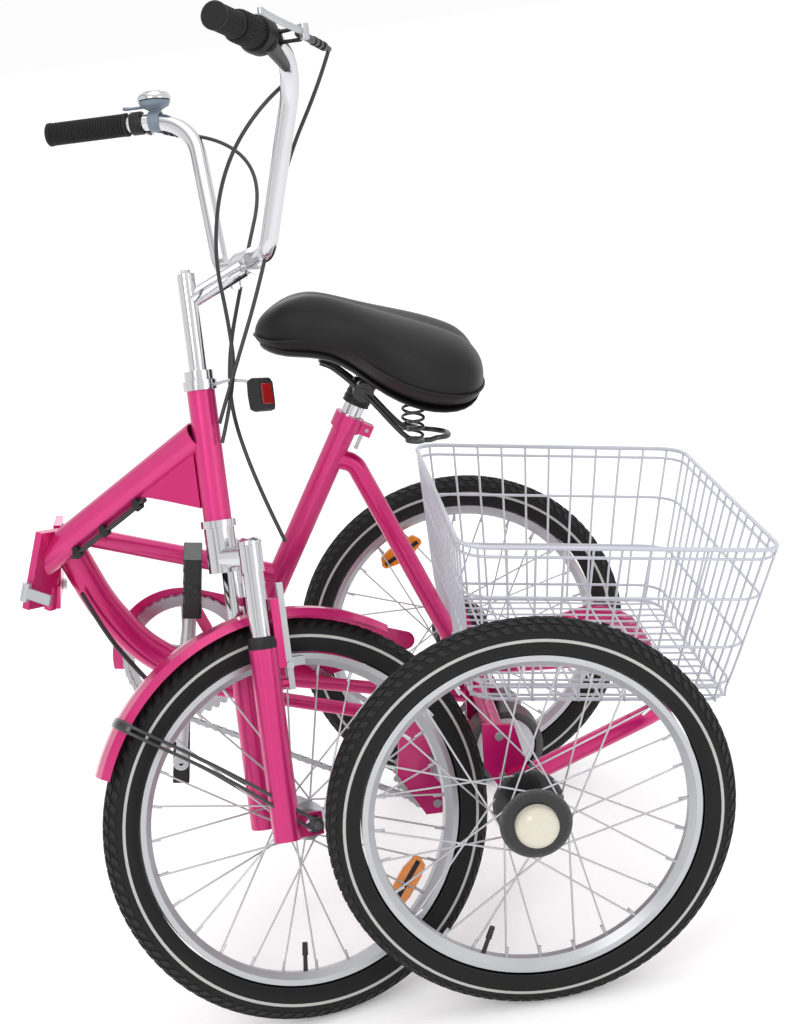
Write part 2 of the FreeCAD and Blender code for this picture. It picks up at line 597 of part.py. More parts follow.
def make_steering():
    legs = []
    for i, side in enumerate((-1, 1)):
        legs.append(rod("stanchion_%d" % i, fork_point(112, size("leg_lead"), side * size("leg_half")),
                        fork_point(354, size("leg_lead"), side * size("leg_half")), "sizes.steerer_radius"))
        legs.append(rod("crown_arm_%d" % i, fork_point(336, 0, side * 8),
                        fork_point(336, size("leg_lead"), side * size("leg_half")), "13"))
        legs.append(rod("crown_socket_%d" % i, fork_point(316, size("leg_lead"), side * size("leg_half")),
                        fork_point(350, size("leg_lead"), side * size("leg_half")), "14.5"))
    steerer = rod("steerer", fork_point(318, 0), fork_point(568, 0), "sizes.steerer_radius")
    seat = rod("crown_seat", fork_point(318, 0), fork_point(373.6, 0), "19")
    nut = rod("headset_nut", fork_point(556.4, 0), fork_point(568, 0), "18")
    node("fork_uppers", fuse("fork_uppers_whole", legs + [steerer, seat, nut]), "steering")

    quill = rod("quill", fork_point(568, 0), fork_point(688, 0), "11")
    reach = rod("stem_reach", fork_point(655, 0), fork_point(690, 76), "12")
    clamp = rod("stem_clamp", fork_point(696, 86, -24), fork_point(696, 86, 24), "17")
    holes = [rod("stem_bore", fork_point(696, 86, -30), fork_point(696, 86, 30), "sizes.bar_radius"),
             rod("quill_bore", fork_point(640, 0), fork_point(700, 0), "8")]
    node("stem", cut("stem_cut", fuse("stem_solid", [quill, reach, clamp]), fuse("stem_holes", holes)),
         "bars")
    node("handlebar", bent_tube("handlebar", bar_points(), "bar_radius", "tube_wall", 0.3), "bars")

    grips, perches = [], []
    for name, side in (("left", 1), ("right", -1)):
        start, end = bar_end(side)
        out = end.sub(start).normalize()
        length = 112 if side > 0 else 46
        grips.append(cut("grip_%s" % name, rod("grip_body_%s" % name, end.sub(out * length), end.add(out * 4),
                         "sizes.grip_radius"), rod("grip_hole_%s" % name, end.sub(out * 140), end,
                         "sizes.bar_radius")))
        place = end.sub(out * (134 if side > 0 else 138))
        ring = tube("perch_ring_%s" % name, place, place.add(out * 16), "15.5", "sizes.bar_radius")
        lug = lever_axes(side)
        arm = block("perch_arm_%s" % name, (-16, 12, -7), (0, 38, 7), lug)
        bore = rod("perch_bore_%s" % name, place.sub(out * 10), place.add(out * 30), "sizes.bar_radius")
        perches.append(cut("perch_%s" % name, fuse("perch_solid_%s" % name, [ring, arm]), bore))
        blade = fuse("blade_%s" % name, [
            rod("blade_pivot_%s" % name, lug.multVec(Vector(-8, 45, -9)),
                lug.multVec(Vector(-8, 45, 9)), "6"),
            block("blade_flat_%s" % name, (-8, 41, -4), (104, 47, 4), lug)])
        node("brake_lever_" + name, blade, "lever_" + name)
    node("grips", group("grips", grips), "bars")
    node("brake_perches", group("brake_perches", perches), "bars")

    start, end = bar_end(-1)
    out = end.sub(start).normalize()
    drum_in, drum_out = end.sub(out * 116), end.sub(out * 47)
    drum = cut("shifter_cut", fuse("shifter_solid", [
        rod("shifter_drum", drum_in.add(out * 24), drum_out, "19"),
        rod("shifter_house", drum_in, drum_in.add(out * 24), "23")]),
        rod("shifter_bore", drum_in.sub(out), drum_out.add(out), "sizes.bar_radius + sizes.running_gap"))
    node("twist_shifter", drum, "shifter")

    base = bell_axes()
    stand = fuse("bell_stand", [
        rod("bell_foot", base.multVec(Vector(0, 0, 11)), base.multVec(Vector(0, 0, 26)), "9"),
        rod("bell_dome", base.multVec(Vector(0, 0, 25)), base.multVec(Vector(0, 0, 42)), "23")])
    node("bell", stand, "bars")
    thumb = block("bell_thumb", (26, -4, 18), (46, 4, 22), base)
    tail = block("bell_thumb_tail", (12, -3, 19), (27, 3, 21.5), base)
    node("bell_lever", fuse("bell_lever_whole", [thumb, tail]), "bell_lever")


def bar_points():
    half = [fork_point(696, 86, 26), fork_point(700, 80, 76), fork_point(917, 105, 173),
            fork_point(926, -48, 304)]
    other = [Vector(p.x, -p.y, p.z) for p in half[::-1]]
    return other + half


def bar_end(side):
    """The two ends of the straight run that carries a grip."""
    inner, outer = bar_points()[-2:]
    if side < 0:
        inner, outer = Vector(inner.x, -inner.y, inner.z), Vector(outer.x, -outer.y, outer.z)
    return inner, outer


def lever_axes(side):
    """Axes at a brake lever's perch: X along the bar to its end, Y ahead, Z up."""
    start, end = bar_end(side)
    out = end.sub(start).normalize()
    ahead = out.cross(STEER_UP) if side < 0 else STEER_UP.cross(out)
    ahead = (ahead * (1 if ahead.dot(STEER_AHEAD) > 0 else -1)).normalize()
    place = end.sub(out * (118 if side > 0 else 122))
    return Placement(place, Rotation(out, ahead, out.cross(ahead), "XYZ"))


def bell_axes():
    """Axes at the bell: Z up out of the left bar."""
    start, end = bar_end(1)
    out = end.sub(start).normalize()
    rise = STEER_UP.sub(out * out.dot(STEER_UP)).normalize()
    return Placement(end.sub(out * 152), Rotation(out, rise.cross(out), rise, "XYZ"))


def make_fork_lowers():
    legs, lead, half = [], size("leg_lead"), size("leg_half")
    for i, side in enumerate((-1, 1)):
        legs.append(rod("lower_leg_%d" % i, fork_point(-14, lead, side * half),
                        fork_point(226, lead, side * half), "sizes.leg_outer"))
        axes = Placement(fork_point(0, 0), Rotation(STEER_AHEAD, Vector(0, 1, 0), STEER_UP, "ZXY"))
        low, high = sorted((side * (half - 3.5), side * (half + 3.5)))
        legs.append(block("dropout_%d" % i, (lead + 8, low, -14), (68, high, 14), axes))
        low, high = sorted((side * 46, side * 60))
        legs.append(block("arch_post_%d" % i, (36.5, low, 196), (47, high, 280), axes))
        legs.append(rod("brake_boss_%d" % i, fork_point(175, lead, side * 44),
                        fork_point(175, 50, side * 44), "6"))
    legs.append(block("arch_bridge", (36.5, -60, 269), (47, 60, 280), axes))
    bores = [rod("leg_bore_%d" % i, fork_point(60, lead, side * half), fork_point(230, lead, side * half),
                 "sizes.steerer_radius + sizes.running_gap") for i, side in enumerate((-1, 1))]
    hole = rod("dropout_hole", FRONT_HUB.add(Vector(0, -70, 0)), FRONT_HUB.add(Vector(0, 70, 0)),
               "sizes.front_axle_radius")
    node("fork_lowers", cut("fork_lowers_cut", fuse("fork_lowers_solid", legs),
                            fuse("fork_lowers_holes", bores + [hole])), "lowers")

    shaft = rod("front_axle_bar", FRONT_HUB.add(Vector(0, -74, 0)), FRONT_HUB.add(Vector(0, 74, 0)),
                "sizes.front_axle_radius")
    nuts = []
    for i, (start, end, radius) in enumerate(((-64, -55.6, 9), (55.6, 64, 9), (-48.4, -30.3, 7.5),
                                              (30.3, 48.4, 7.5))):
        nuts.append(rod("front_nut_%d" % i, FRONT_HUB.add(Vector(0, start, 0)),
                        FRONT_HUB.add(Vector(0, end, 0)), str(radius)))
    node("front_axle", fuse("front_axle_whole", [shaft] + nuts), "lowers")

    radius, width = size("fender_radius"), size("fender_half")
    profile = Part.Face(Part.makePolygon([
        Vector(radius - 9, width, 0), Vector(radius, width - 10, 0), Vector(radius + 2, 0, 0),
        Vector(radius, 10 - width, 0), Vector(radius - 9, -width, 0), Vector(radius - 9, 1.6 - width, 0),
        Vector(radius - 1.4, 10.6 - width, 0), Vector(radius + 0.4, 0, 0),
        Vector(radius - 1.4, width - 10.6, 0), Vector(radius - 9, width - 1.6, 0),
        Vector(radius - 9, width, 0)]))
    arc = profile.revolve(Vector(), Vector(0, -1, 0), 101)
    fender = doc.addObject("Part::Feature", "fender_arc")
    fender.Shape = arc
    fender.Placement = Placement(FRONT_HUB, Rotation(Vector(0, -1, 0), 148 - size("head_angle")))
    node("front_fender", fender, "lowers")

    for side, name in ((1, "left"), (-1, "right")):
        low, high = sorted((side * 40, side * 48))
        axes = Placement(fork_point(0, 0), Rotation(STEER_AHEAD, Vector(0, 1, 0), STEER_UP, "ZXY"))
        bar = block("arm_bar_" + name, (50.4, low, 166), (58, high, 298), axes)
        low, high = sorted((side * 15.8, side * 27))
        pad = block("arm_pad_" + name, (32, low, 192), (80, high, 203), axes)
        low, high = sorted((side * 26, side * 44))
        stem = block("arm_stem_" + name, (51, low, 194), (57, high, 200), axes)
        node("brake_arm_" + name, fuse("brake_arm_whole_" + name, [bar, pad, stem]), "arm_" + name)


# ---------------------------------------------------------------- wheels

def make_wheel(prefix, where, centre, spoke_span, flange, bore, barrel_half, cap_side):
    tread = "(sizes.tyre_radius - sizes.tyre_half)"
    outer, inner = (doc.addObject("Part::Torus", prefix + name) for name in ("_carcass", "_air"))
    for ring, section in ((outer, "sizes.tyre_half"), (inner, "sizes.tyre_half - sizes.tyre_wall")):
        ring.setExpression("Radius1", tread)
        ring.setExpression("Radius2", section)
    well = rod(prefix + "_well", Vector(0, 0, -40), Vector(0, 0, 40), "sizes.rim_outer + 0.4")
    tyre = cut(prefix + "_tyre_cut", cut(prefix + "_shell", outer, inner), well)
    tyre.Placement = Placement(centre, Rotation(Vector(1, 0, 0), 90))
    node(prefix + "_tyre", tyre, where)

    base, depth, width = "(sizes.rim_outer - sizes.rim_depth)", "sizes.rim_outer", "sizes.rim_half"
    rim = lathe(prefix + "_rim_body", [
        (base, width + " - 5"), (base + " + 8", "0"), (depth, "0"), (depth, "2"), (depth + " - 7", "3"),
        (depth + " - 7", "2 * " + width + " - 3"), (depth, "2 * " + width + " - 2"),
        (depth, "2 * " + width), (base + " + 8", "2 * " + width), (base, width + " + 5")])
    turned(rim, centre.sub(Vector(0, size("rim_half"), 0)), Vector(0, 1, 0))
    node(prefix + "_rim", rim, where)

    total = "%s" % (2 * barrel_half)
    hub = lathe(prefix + "_hub_body", [
        (bore, "0"), ("15", "0"), (str(flange), "2"), (str(flange), "5"), ("15", "12"),
        ("15", total + " - 12"), (str(flange), total + " - 5"), (str(flange), total + " - 2"),
        ("15", total), (bore, total)])
    turned(hub, centre.sub(Vector(0, barrel_half, 0)), Vector(0, 1, 0))
    pieces = [hub]
    if cap_side:
        face = centre.add(Vector(0, cap_side * barrel_half, 0))
        cap = lathe(prefix + "_cap", [
            ("24", "0"), ("26", "0"), ("26", "9"), ("20", "17"), ("11", "21"), ("0", "22"),
            ("0", "20"), ("10", "19"), ("18.5", "15.5"), ("24", "8.4")])
        pieces.append(turned(cap, face, Vector(0, cap_side, 0)))
    node(prefix + "_hub", group(prefix + "_hub_set", pieces) if cap_side else hub, where)

    spokes, count = [], 28
    for i in range(count):
        side = 1 if i % 2 else -1
        rim_angle = 2 * math.pi * (i + 0.5) / count
        swing = (1 if i % 4 < 2 else -1) * math.radians(spoke_span)
        hub_angle = rim_angle + swing
        start = centre.add(Vector((flange - 4) * math.cos(hub_angle), side * (barrel_half - 3.5),
                                  (flange - 4) * math.sin(hub_angle)))
        reach = size("rim_outer") - size("rim_depth") + 1
        end = centre.add(Vector(reach * math.cos(rim_angle), side * 2, reach * math.sin(rim_angle)))
        spokes.append(rod("%s_spoke_%d" % (prefix, i), start, end, "sizes.spoke_radius"))
    node(prefix + "_spokes", group(prefix + "_spoke_set", spokes), where)


# ---------------------------------------------------------------- cables

def make_cables():
    shifter = cable("shift_cable", [
        fork_point(893, 108, -152), fork_point(869, 70, -140), fork_point(800, 28, -92),
        fork_point(706, 18, -54), fork_point(620, 32, -40), fork_point(550, 34, -35),
        fork_point(476, 9, -25)])
    front_brake = cable("front_brake_cable", [
        fork_point(892, 92, 168), fork_point(878, 132, 128), fork_point(812, 156, 80),
        fork_point(700, 96, 36), fork_point(560, 38, 10), fork_point(450, 40, -16),
        fork_point(346, 68, -43)])
    rear_brake = cable("rear_brake_cable", [
        fork_point(930, 170, -130), fork_point(890, 154, -124), fork_point(800, 108, -98),
        fork_point(660, 70, -60), fork_point(570, 34, -43), fork_point(500, 8, -27)])
    node("control_cables", group("control_cables", [shifter, front_brake, rear_brake]), "bars")

    join, foot = fork_point(495, 0), Vector(600, 0, 229)
    along = foot.sub(join).normalize()
    below = Vector(along.z, 0, -along.x) * (1 if -along.x < 0 else -1)
    pair = []
    for i, y in enumerate((-9, -15)):
        line = [join.add(along * d).add(below * (size("main_tube_outer") + gap)).add(Vector(0, y, 0))
                for d, gap in ((118, 4), (160, 5), (205, 4), (250, 5))]
        pair.append(cable("main_tube_cable_%d" % i, line))
    node("main_tube_cables", group("main_tube_cables", pair), "front")

    pair = []
    for i, y in enumerate((28, 34)):
        pair.append(cable("rear_cable_%d" % i, [
            Vector(556, y, 176), Vector(524, y, 118), Vector(482, y, 68), Vector(440, y, 22)]))
    node("rear_cables", group("rear_cables", pair), "rear")


# ---------------------------------------------------------------- build, place and write

make_rear_frame()
make_axle_carrier()
make_basket()
make_rear_hinge()
make_drive()
make_crankset()
make_seat()
make_front_frame()
make_steering()
make_fork_lowers()
half_track = size("track") / 2
make_wheel("front", "front_wheel", FRONT_HUB, 62, 24, "sizes.front_axle_radius + sizes.running_gap", 30, 0)
make_wheel("left", "left_wheel", Vector(0, half_track, 0), 62, 44,
           "sizes.axle_radius + sizes.running_gap", 32, 1)
make_wheel("right", "drive", Vector(0, -half_track, 0), 62, 44, "sizes.axle_radius", 32, -1)
make_cables()
doc.recompute()

FRONT = PITCH.multiply(FOLD)
TURNED = FRONT.multiply(STEER)
FRONT_NAMES = ("front", "latch")
STEER_NAMES = ("race", "steering", "lowers", "arm_left", "arm_right", "front_wheel")
BAR_NAMES = ("bars", "shifter", "lever_left", "lever_right", "bell_lever")


def placement_of(where):
    if where in FRONT_NAMES:
        return FRONT
    if where in STEER_NAMES:
        return TURNED
    if where in BAR_NAMES:
        return TURNED.multiply(about(STEER_FOOT, STEER_UP, size("stem_turn")))
    return PITCH


box = FreeCAD.BoundBox()
for label, piece, where in nodes:
    piece.Placement = placement_of(where).multiply(piece.Placement)
doc.recompute()
for label, piece, where in nodes:
    box.add(piece.Shape.optimalBoundingBox(False, False))
shift = Placement(Vector(-(box.XMin + box.XMax) / 2, -(box.YMin + box.YMax) / 2, -box.ZMin), Rotation())
for label, piece, where in nodes:
    piece.Placement = shift.multiply(piece.Placement)
doc.recompute()

faults = [o.Label for o in doc.Objects if "Invalid" in o.State or "Error" in o.State]
for label, piece, where in nodes:
    if piece.Shape.isNull() or not piece.Shape.isValid() or not piece.Shape.Solids:
        faults.append(label)
if faults:
    raise RuntimeError("faulty pieces: " + ", ".join(sorted(set(faults))))
os.makedirs("parts", exist_ok=True)
for label, piece, where in nodes:
    piece.Shape.exportStep("parts/%s.step" % label)
print("%d nodes, size %.0f x %.0f x %.0f mm" % (len(nodes), box.XLength, box.YLength, box.ZLength))
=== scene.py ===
"""Folding adult tricycle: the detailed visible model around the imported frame."""
import json
import math

import bmesh
import bpy
from mathutils import Matrix, Vector


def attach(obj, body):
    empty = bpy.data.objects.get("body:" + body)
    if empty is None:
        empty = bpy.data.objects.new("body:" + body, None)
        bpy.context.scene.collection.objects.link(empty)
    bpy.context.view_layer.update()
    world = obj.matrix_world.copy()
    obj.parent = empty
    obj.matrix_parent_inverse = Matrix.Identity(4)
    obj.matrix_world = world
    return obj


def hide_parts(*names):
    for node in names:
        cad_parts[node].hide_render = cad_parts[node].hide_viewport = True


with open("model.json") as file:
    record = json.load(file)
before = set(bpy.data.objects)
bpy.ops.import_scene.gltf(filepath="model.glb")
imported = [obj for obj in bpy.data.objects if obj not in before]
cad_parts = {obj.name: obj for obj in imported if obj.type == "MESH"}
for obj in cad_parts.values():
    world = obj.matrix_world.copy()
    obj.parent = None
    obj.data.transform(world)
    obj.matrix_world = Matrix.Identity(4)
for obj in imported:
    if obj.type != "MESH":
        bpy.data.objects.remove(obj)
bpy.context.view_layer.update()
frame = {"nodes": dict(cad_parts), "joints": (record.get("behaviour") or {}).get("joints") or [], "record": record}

# ---------------------------------------------------------------- where the sub-assemblies stand
# Drawn in millimetres with the origin at the rear axle, X forwards, Y to the rider's left and Z up.

JOINTS = {joint["name"]: joint for joint in frame["joints"]}
TYRE_RADIUS, TYRE_HALF = 250, 24
TREAD_RADIUS = TYRE_RADIUS - TYRE_HALF
HALF_TRACK = 332
BB = Vector((419, 0, 58))
FRONT_HUB = Vector((1018, 0, 0))
LEAN = math.radians(90 - 69)
STEER_UP = Vector((-math.sin(LEAN), 0, math.cos(LEAN)))
STEER_AHEAD = Vector((math.cos(LEAN), 0, math.sin(LEAN)))
STEER_FOOT = FRONT_HUB - STEER_AHEAD * 56.7
HINGE = Vector((594, 21, 200))
PIN_UP = Vector((-math.tan(math.radians(4.48)), -math.tan(math.radians(3.39)), 1)).normalized()
SEAT_FOOT = Vector((351, 0, 58))
SLOPE = math.radians(68.4)
SEAT_UP = Vector((-math.cos(SLOPE), 0, math.sin(SLOPE)))
SEAT_BACK = Vector((-math.sin(SLOPE), 0, -math.cos(SLOPE)))
SEAT_TOP = 383
BAR_RADIUS = 11.1
CHAIN_Y = -60
LINK = 12.7


def turn(point, axis, degrees):
    """A turn about a line through point."""
    return Matrix.Translation(point) @ Matrix.Rotation(math.radians(degrees), 4, axis) @ Matrix.Translation(-point)


axle = Vector(JOINTS["axle_spin"]["pos_m"]) * 1000
crank = Vector(JOINTS["crank_spin"]["pos_m"]) * 1000 - axle
PITCH = math.atan2(crank.z, crank.x) - math.atan2(BB.z, BB.x)
REAR = Matrix.Translation(axle) @ Matrix.Rotation(-PITCH, 4, "Y")
FRONT = REAR @ turn(HINGE, PIN_UP, 149.6)
FORK = FRONT @ turn(STEER_FOOT, STEER_UP, 43.9)
BARS = FORK @ turn(STEER_FOOT, STEER_UP, 7.4)


def fork_point(up, ahead, side=0):
    """A point of the unfolded front half, up along the steering axis from the hub's height."""
    return STEER_FOOT + STEER_UP * up + STEER_AHEAD * ahead + Vector((0, side, 0))


def seat_point(up, back=0, side=0):
    return SEAT_FOOT + SEAT_UP * up + SEAT_BACK * back + Vector((0, side, 0))


def axes_at(origin, x, y, z):
    """A local frame as a matrix, from its origin and its three directions."""
    rows = Matrix((x, y, z)).transposed().to_4x4()
    return Matrix.Translation(origin) @ rows


# ---------------------------------------------------------------- materials

def shader(name, colour, metallic=0.0, rough=0.5, coat=0.0, coat_rough=0.05, sheen=0.0, gloss=0.5,
           grain=200.0, bump=0.05, shade=0.12, polish=0.12, edge_wear_and_highlight=0.0, edge_wear_and_highlight_colour=(0.5, 0.5, 0.5)):
    """A procedural finish: tone and roughness vary with noise, convex edges take a second colour (wear on the black
    parts and tyres, a painted highlight on the magenta paint) and the grain is bumped.
    """
    made = bpy.data.materials.new(name)
    made.use_nodes = True
    nodes, links = made.node_tree.nodes, made.node_tree.links
    out = nodes["Principled BSDF"]
    out.inputs["Metallic"].default_value = metallic
    out.inputs["Coat Weight"].default_value = coat
    out.inputs["Coat Roughness"].default_value = coat_rough
    out.inputs["Sheen Weight"].default_value = sheen
    out.inputs["Specular IOR Level"].default_value = gloss
    where = nodes.new("ShaderNodeTexCoord")
    cloud, fine = nodes.new("ShaderNodeTexNoise"), nodes.new("ShaderNodeTexNoise")
    for noise, scale in ((cloud, 14.0), (fine, grain)):
        noise.inputs["Scale"].default_value = scale
        noise.inputs["Detail"].default_value = 5.0
        links.new(where.outputs["Object"], noise.inputs["Vector"])
    tone = nodes.new("ShaderNodeMix")
    tone.data_type = "RGBA"
    tone.inputs["A"].default_value = (*[c * (1 - shade) for c in colour], 1)
    tone.inputs["B"].default_value = (*[min(1, c * (1 + shade)) for c in colour], 1)
    links.new(cloud.outputs["Fac"], tone.inputs["Factor"])
    colour_out = tone.outputs["Result"]
    # Convex edges (high pointiness) are mixed towards a second colour: scuffed wear on the black parts and tyres, and a
    # painted highlight (lighter, pinker edges) on the magenta paint.
    if edge_wear_and_highlight:
        edge, ramp = nodes.new("ShaderNodeNewGeometry"), nodes.new("ShaderNodeValToRGB")
        ramp.color_ramp.elements[0].position = 0.54
        ramp.color_ramp.elements[1].position = 0.62
        ramp.color_ramp.elements[1].color = (edge_wear_and_highlight, edge_wear_and_highlight, edge_wear_and_highlight, 1)
        links.new(edge.outputs["Pointiness"], ramp.inputs["Fac"])
        edge_wear_and_highlight_mix = nodes.new("ShaderNodeMix")
        edge_wear_and_highlight_mix.data_type = "RGBA"
        edge_wear_and_highlight_mix.inputs["B"].default_value = (*edge_wear_and_highlight_colour, 1)
        links.new(ramp.outputs["Color"], edge_wear_and_highlight_mix.inputs["Factor"])
        links.new(colour_out, edge_wear_and_highlight_mix.inputs["A"])
        colour_out = edge_wear_and_highlight_mix.outputs["Result"]
    links.new(colour_out, out.inputs["Base Color"])
    matt = nodes.new("ShaderNodeMapRange")
    matt.inputs["To Min"].default_value = max(0.02, rough - polish * rough)
    matt.inputs["To Max"].default_value = min(1.0, rough + polish)
    links.new(fine.outputs["Fac"], matt.inputs["Value"])
    links.new(matt.outputs["Result"], out.inputs["Roughness"])
    rise = nodes.new("ShaderNodeBump")
    rise.inputs["Strength"].default_value = bump
    rise.inputs["Distance"].default_value = 0.0006
    links.new(fine.outputs["Fac"], rise.inputs["Height"])
    links.new(rise.outputs["Normal"], out.inputs["Normal"])
    return made


LOOKS = {
    # The magenta's lighter, pinker edge colour is a painted highlight on its convex edges, not wear.
    "magenta": shader("magenta_paint", (0.56, 0.003, 0.14), 0.5, 0.3, 0.5, 0.05, grain=2600, bump=0.12,
                      shade=0.1, edge_wear_and_highlight=0.15, edge_wear_and_highlight_colour=(0.75, 0.12, 0.35)),
    "chrome": shader("chrome_plate", (0.62, 0.62, 0.64), 1.0, 0.07, grain=900, bump=0.01, shade=0.05),
    "steel": shader("zinc_steel", (0.5, 0.5, 0.52), 1.0, 0.32, grain=1500, bump=0.05),
    "alloy": shader("satin_alloy", (0.5, 0.51, 0.53), 0.9, 0.36, grain=1800, bump=0.04, shade=0.05),
    "black_metal": shader("black_enamel", (0.009, 0.009, 0.01), 0.2, 0.33, 0.3, grain=700, bump=0.05,
                          edge_wear_and_highlight=0.3, edge_wear_and_highlight_colour=(0.2, 0.2, 0.2)),
    "black_plastic": shader("black_plastic", (0.008, 0.008, 0.009), 0.0, 0.42, gloss=0.3, grain=1600, bump=0.2,
                            edge_wear_and_highlight=0.2, edge_wear_and_highlight_colour=(0.09, 0.09, 0.09)),
    "grip": shader("grip_rubber", (0.01, 0.01, 0.011), 0.0, 0.6, gloss=0.25, grain=1200, bump=0.3),
    "tyre": shader("tyre_rubber", (0.008, 0.008, 0.0085), 0.0, 0.66, gloss=0.25, grain=1100, bump=0.4, shade=0.25,
                   edge_wear_and_highlight=0.4, edge_wear_and_highlight_colour=(0.035, 0.035, 0.035)),
    "saddle": shader("saddle_vinyl", (0.004, 0.004, 0.0045), 0.0, 0.38, gloss=0.3, grain=1900, bump=0.5,
                     shade=0.2),
    # The basket's white coating is given a grey-blue base colour darker than white: painted shade over the whole wire.
    "basket": shader("white_coating", (0.5, 0.51, 0.57), 0.0, 0.35, 0.2, grain=500, bump=0.08, shade=0.03),
    "cable": shader("cable_housing", (0.014, 0.014, 0.015), 0.0, 0.4, 0.2, grain=2500, bump=0.1),
}
CREAM = shader("cream_cap", (0.62, 0.58, 0.48), 0.0, 0.25, 0.5, grain=600, bump=0.03, shade=0.04)
AMBER = shader("amber_lens", (0.85, 0.25, 0.01), 0.0, 0.12, 0.8, grain=420, bump=0.7, shade=0.2)
RED = shader("red_lens", (0.3, 0.006, 0.006), 0.0, 0.14, 0.8, grain=420, bump=0.7, shade=0.2)
BAND = shader("reflective_band", (0.42, 0.42, 0.4), 0.1, 0.5, grain=1400, bump=0.15)
GREY = shader("grey_plastic", (0.16, 0.2, 0.25), 0.0, 0.42, grain=1300, bump=0.15)


# ---------------------------------------------------------------- mesh building

class Shape:
    """Mesh parts gathered in one local frame, in millimetres."""

    def __init__(self):
        self.mesh = bmesh.new()

    def loft(self, rings, loop=False, caps=True):
        rows = [[self.mesh.verts.new(p) for p in ring] for ring in rings]
        count = len(rows[0])
        pairs = list(zip(rows, rows[1:])) + ([(rows[-1], rows[0])] if loop else [])
        for a, b in pairs:
            for i in range(count):
                j = (i + 1) % count
                self.mesh.faces.new((a[i], a[j], b[j], b[i]))
        if caps and not loop:
            self.mesh.faces.new(rows[0][::-1])
            self.mesh.faces.new(rows[-1])
        return self

    def sweep(self, points, radius, sides=10, loop=False, flat=1.0, normal=None):
        """A round or flattened bar along points; radius may be a number or one for each point."""
        radii = radius if isinstance(radius, (list, tuple)) else [radius] * len(points)
        across = normal
        rings = []
        for i, p in enumerate(points):
            before = points[i - 1] if i or loop else p
            after = points[(i + 1) % len(points)] if i + 1 < len(points) or loop else p
            along = (after - before).normalized()
            if across is None:
                across = along.orthogonal()
            across = (across - along * across.dot(along)).normalized()
            up = along.cross(across)
            rings.append([p + (across * math.cos(a) + up * math.sin(a) * flat) * radii[i]
                          for a in (2 * math.pi * k / sides for k in range(sides))])
        return self.loft(rings, loop)

    def rod(self, start, end, radius, tip=None, sides=24):
        return self.sweep([Vector(start), Vector(end)], [radius, radius if tip is None else tip], sides)

    def lathe(self, outline, origin, axis, steps=48, loop=True):
        """outline is (radius, distance along the axis); loop joins its last point to its first."""
        axis = Vector(axis).normalized()
        across = axis.orthogonal().normalized()
        up = axis.cross(across)
        rings = []
        for k in range(steps):
            a = 2 * math.pi * k / steps
            out = across * math.cos(a) + up * math.sin(a)
            rings.append([Vector(origin) + out * max(r, 0.01) + axis * d for r, d in outline])
        rows = [[self.mesh.verts.new(p) for p in ring] for ring in rings]
        last = len(outline) if loop else len(outline) - 1
        for k in range(steps):
            a, b = rows[k], rows[(k + 1) % steps]
            for i in range(last):
                j = (i + 1) % len(outline)
                self.mesh.faces.new((a[i], b[i], b[j], a[j]))
        return self

    def block(self, low, high, place=None):
        (x0, y0, z0), (x1, y1, z1) = low, high
        place = place or Matrix()
        rings = [[place @ Vector(p) for p in ((x0, y0, z), (x1, y0, z), (x1, y1, z), (x0, y1, z))]
                 for z in (z0, z1)]
        return self.loft(rings)

    def plate(self, outline, thick, place):
        """A flat plate: outline is (x, y) in its own frame, and thick is along its Z."""
        return self.loft([[place @ Vector((x, y, z)) for x, y in outline] for z in (-thick / 2, thick / 2)])

    def finish(self, name, space, body, slot, look=None, replaces=(), bevel=0.0, levels=0):
        bmesh.ops.remove_doubles(self.mesh, verts=self.mesh.verts, dist=0.002)
        bmesh.ops.recalc_face_normals(self.mesh, faces=self.mesh.faces)
        bmesh.ops.transform(self.mesh, matrix=Matrix.Scale(0.001, 4) @ space, verts=self.mesh.verts)
        for face in self.mesh.faces:
            face.smooth = True
        for edge in self.mesh.edges:
            edge.smooth = len(edge.link_faces) == 2 and edge.calc_face_angle(0) < math.radians(38)
        data = bpy.data.meshes.new(name)
        self.mesh.to_mesh(data)
        self.mesh.free()
        piece = bpy.data.objects.new(name, data)
        bpy.context.scene.collection.objects.link(piece)
        data.materials.append(look or LOOKS[slot])
        if bevel:
            soften = piece.modifiers.new("edges", "BEVEL")
            soften.width = bevel / 1000
            soften.segments = 2
            soften.limit_method = "ANGLE"
        if levels:
            finer = piece.modifiers.new("finer", "SUBSURF")
            finer.levels = finer.render_levels = levels
        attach(piece, body)
        if replaces:
            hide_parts(*replaces)
        return piece


def smooth_line(points, steps=8, loop=False):
    """Catmull-Rom points through a short list."""
    ends = points if loop else [points[0] * 2 - points[1], *points, points[-1] * 2 - points[-2]]
    count = len(points) if loop else len(points) - 1
    line = []
    for i in range(count):
        p = [ends[(i + k - (1 if loop else 0)) % len(ends)] for k in range(4)]
        for s in range(steps):
            t = s / steps
            line.append(0.5 * (2 * p[1] + (p[2] - p[0]) * t + (2 * p[0] - 5 * p[1] + 4 * p[2] - p[3]) * t ** 2
                               + (3 * p[1] - p[0] - 3 * p[2] + p[3]) * t ** 3))
    return line if loop else line + [points[-1]]


# ---------------------------------------------------------------- wheels

WHEELS = {
    "front": (FORK, FRONT_HUB, "front_wheel", 0),
    "left": (REAR, Vector((0, HALF_TRACK, 0)), "left_wheel", 1),
    "right": (REAR, Vector((0, -HALF_TRACK, 0)), "rear_axle", -1),
}


def on_tyre(centre, around, section, radius):
    """A point of the tyre: around the wheel, then around its section from the tread's middle."""
    out = Vector((math.cos(around), 0, math.sin(around)))
    return centre + out * (TREAD_RADIUS + radius * math.cos(section)) + Vector((0, radius * math.sin(section), 0))


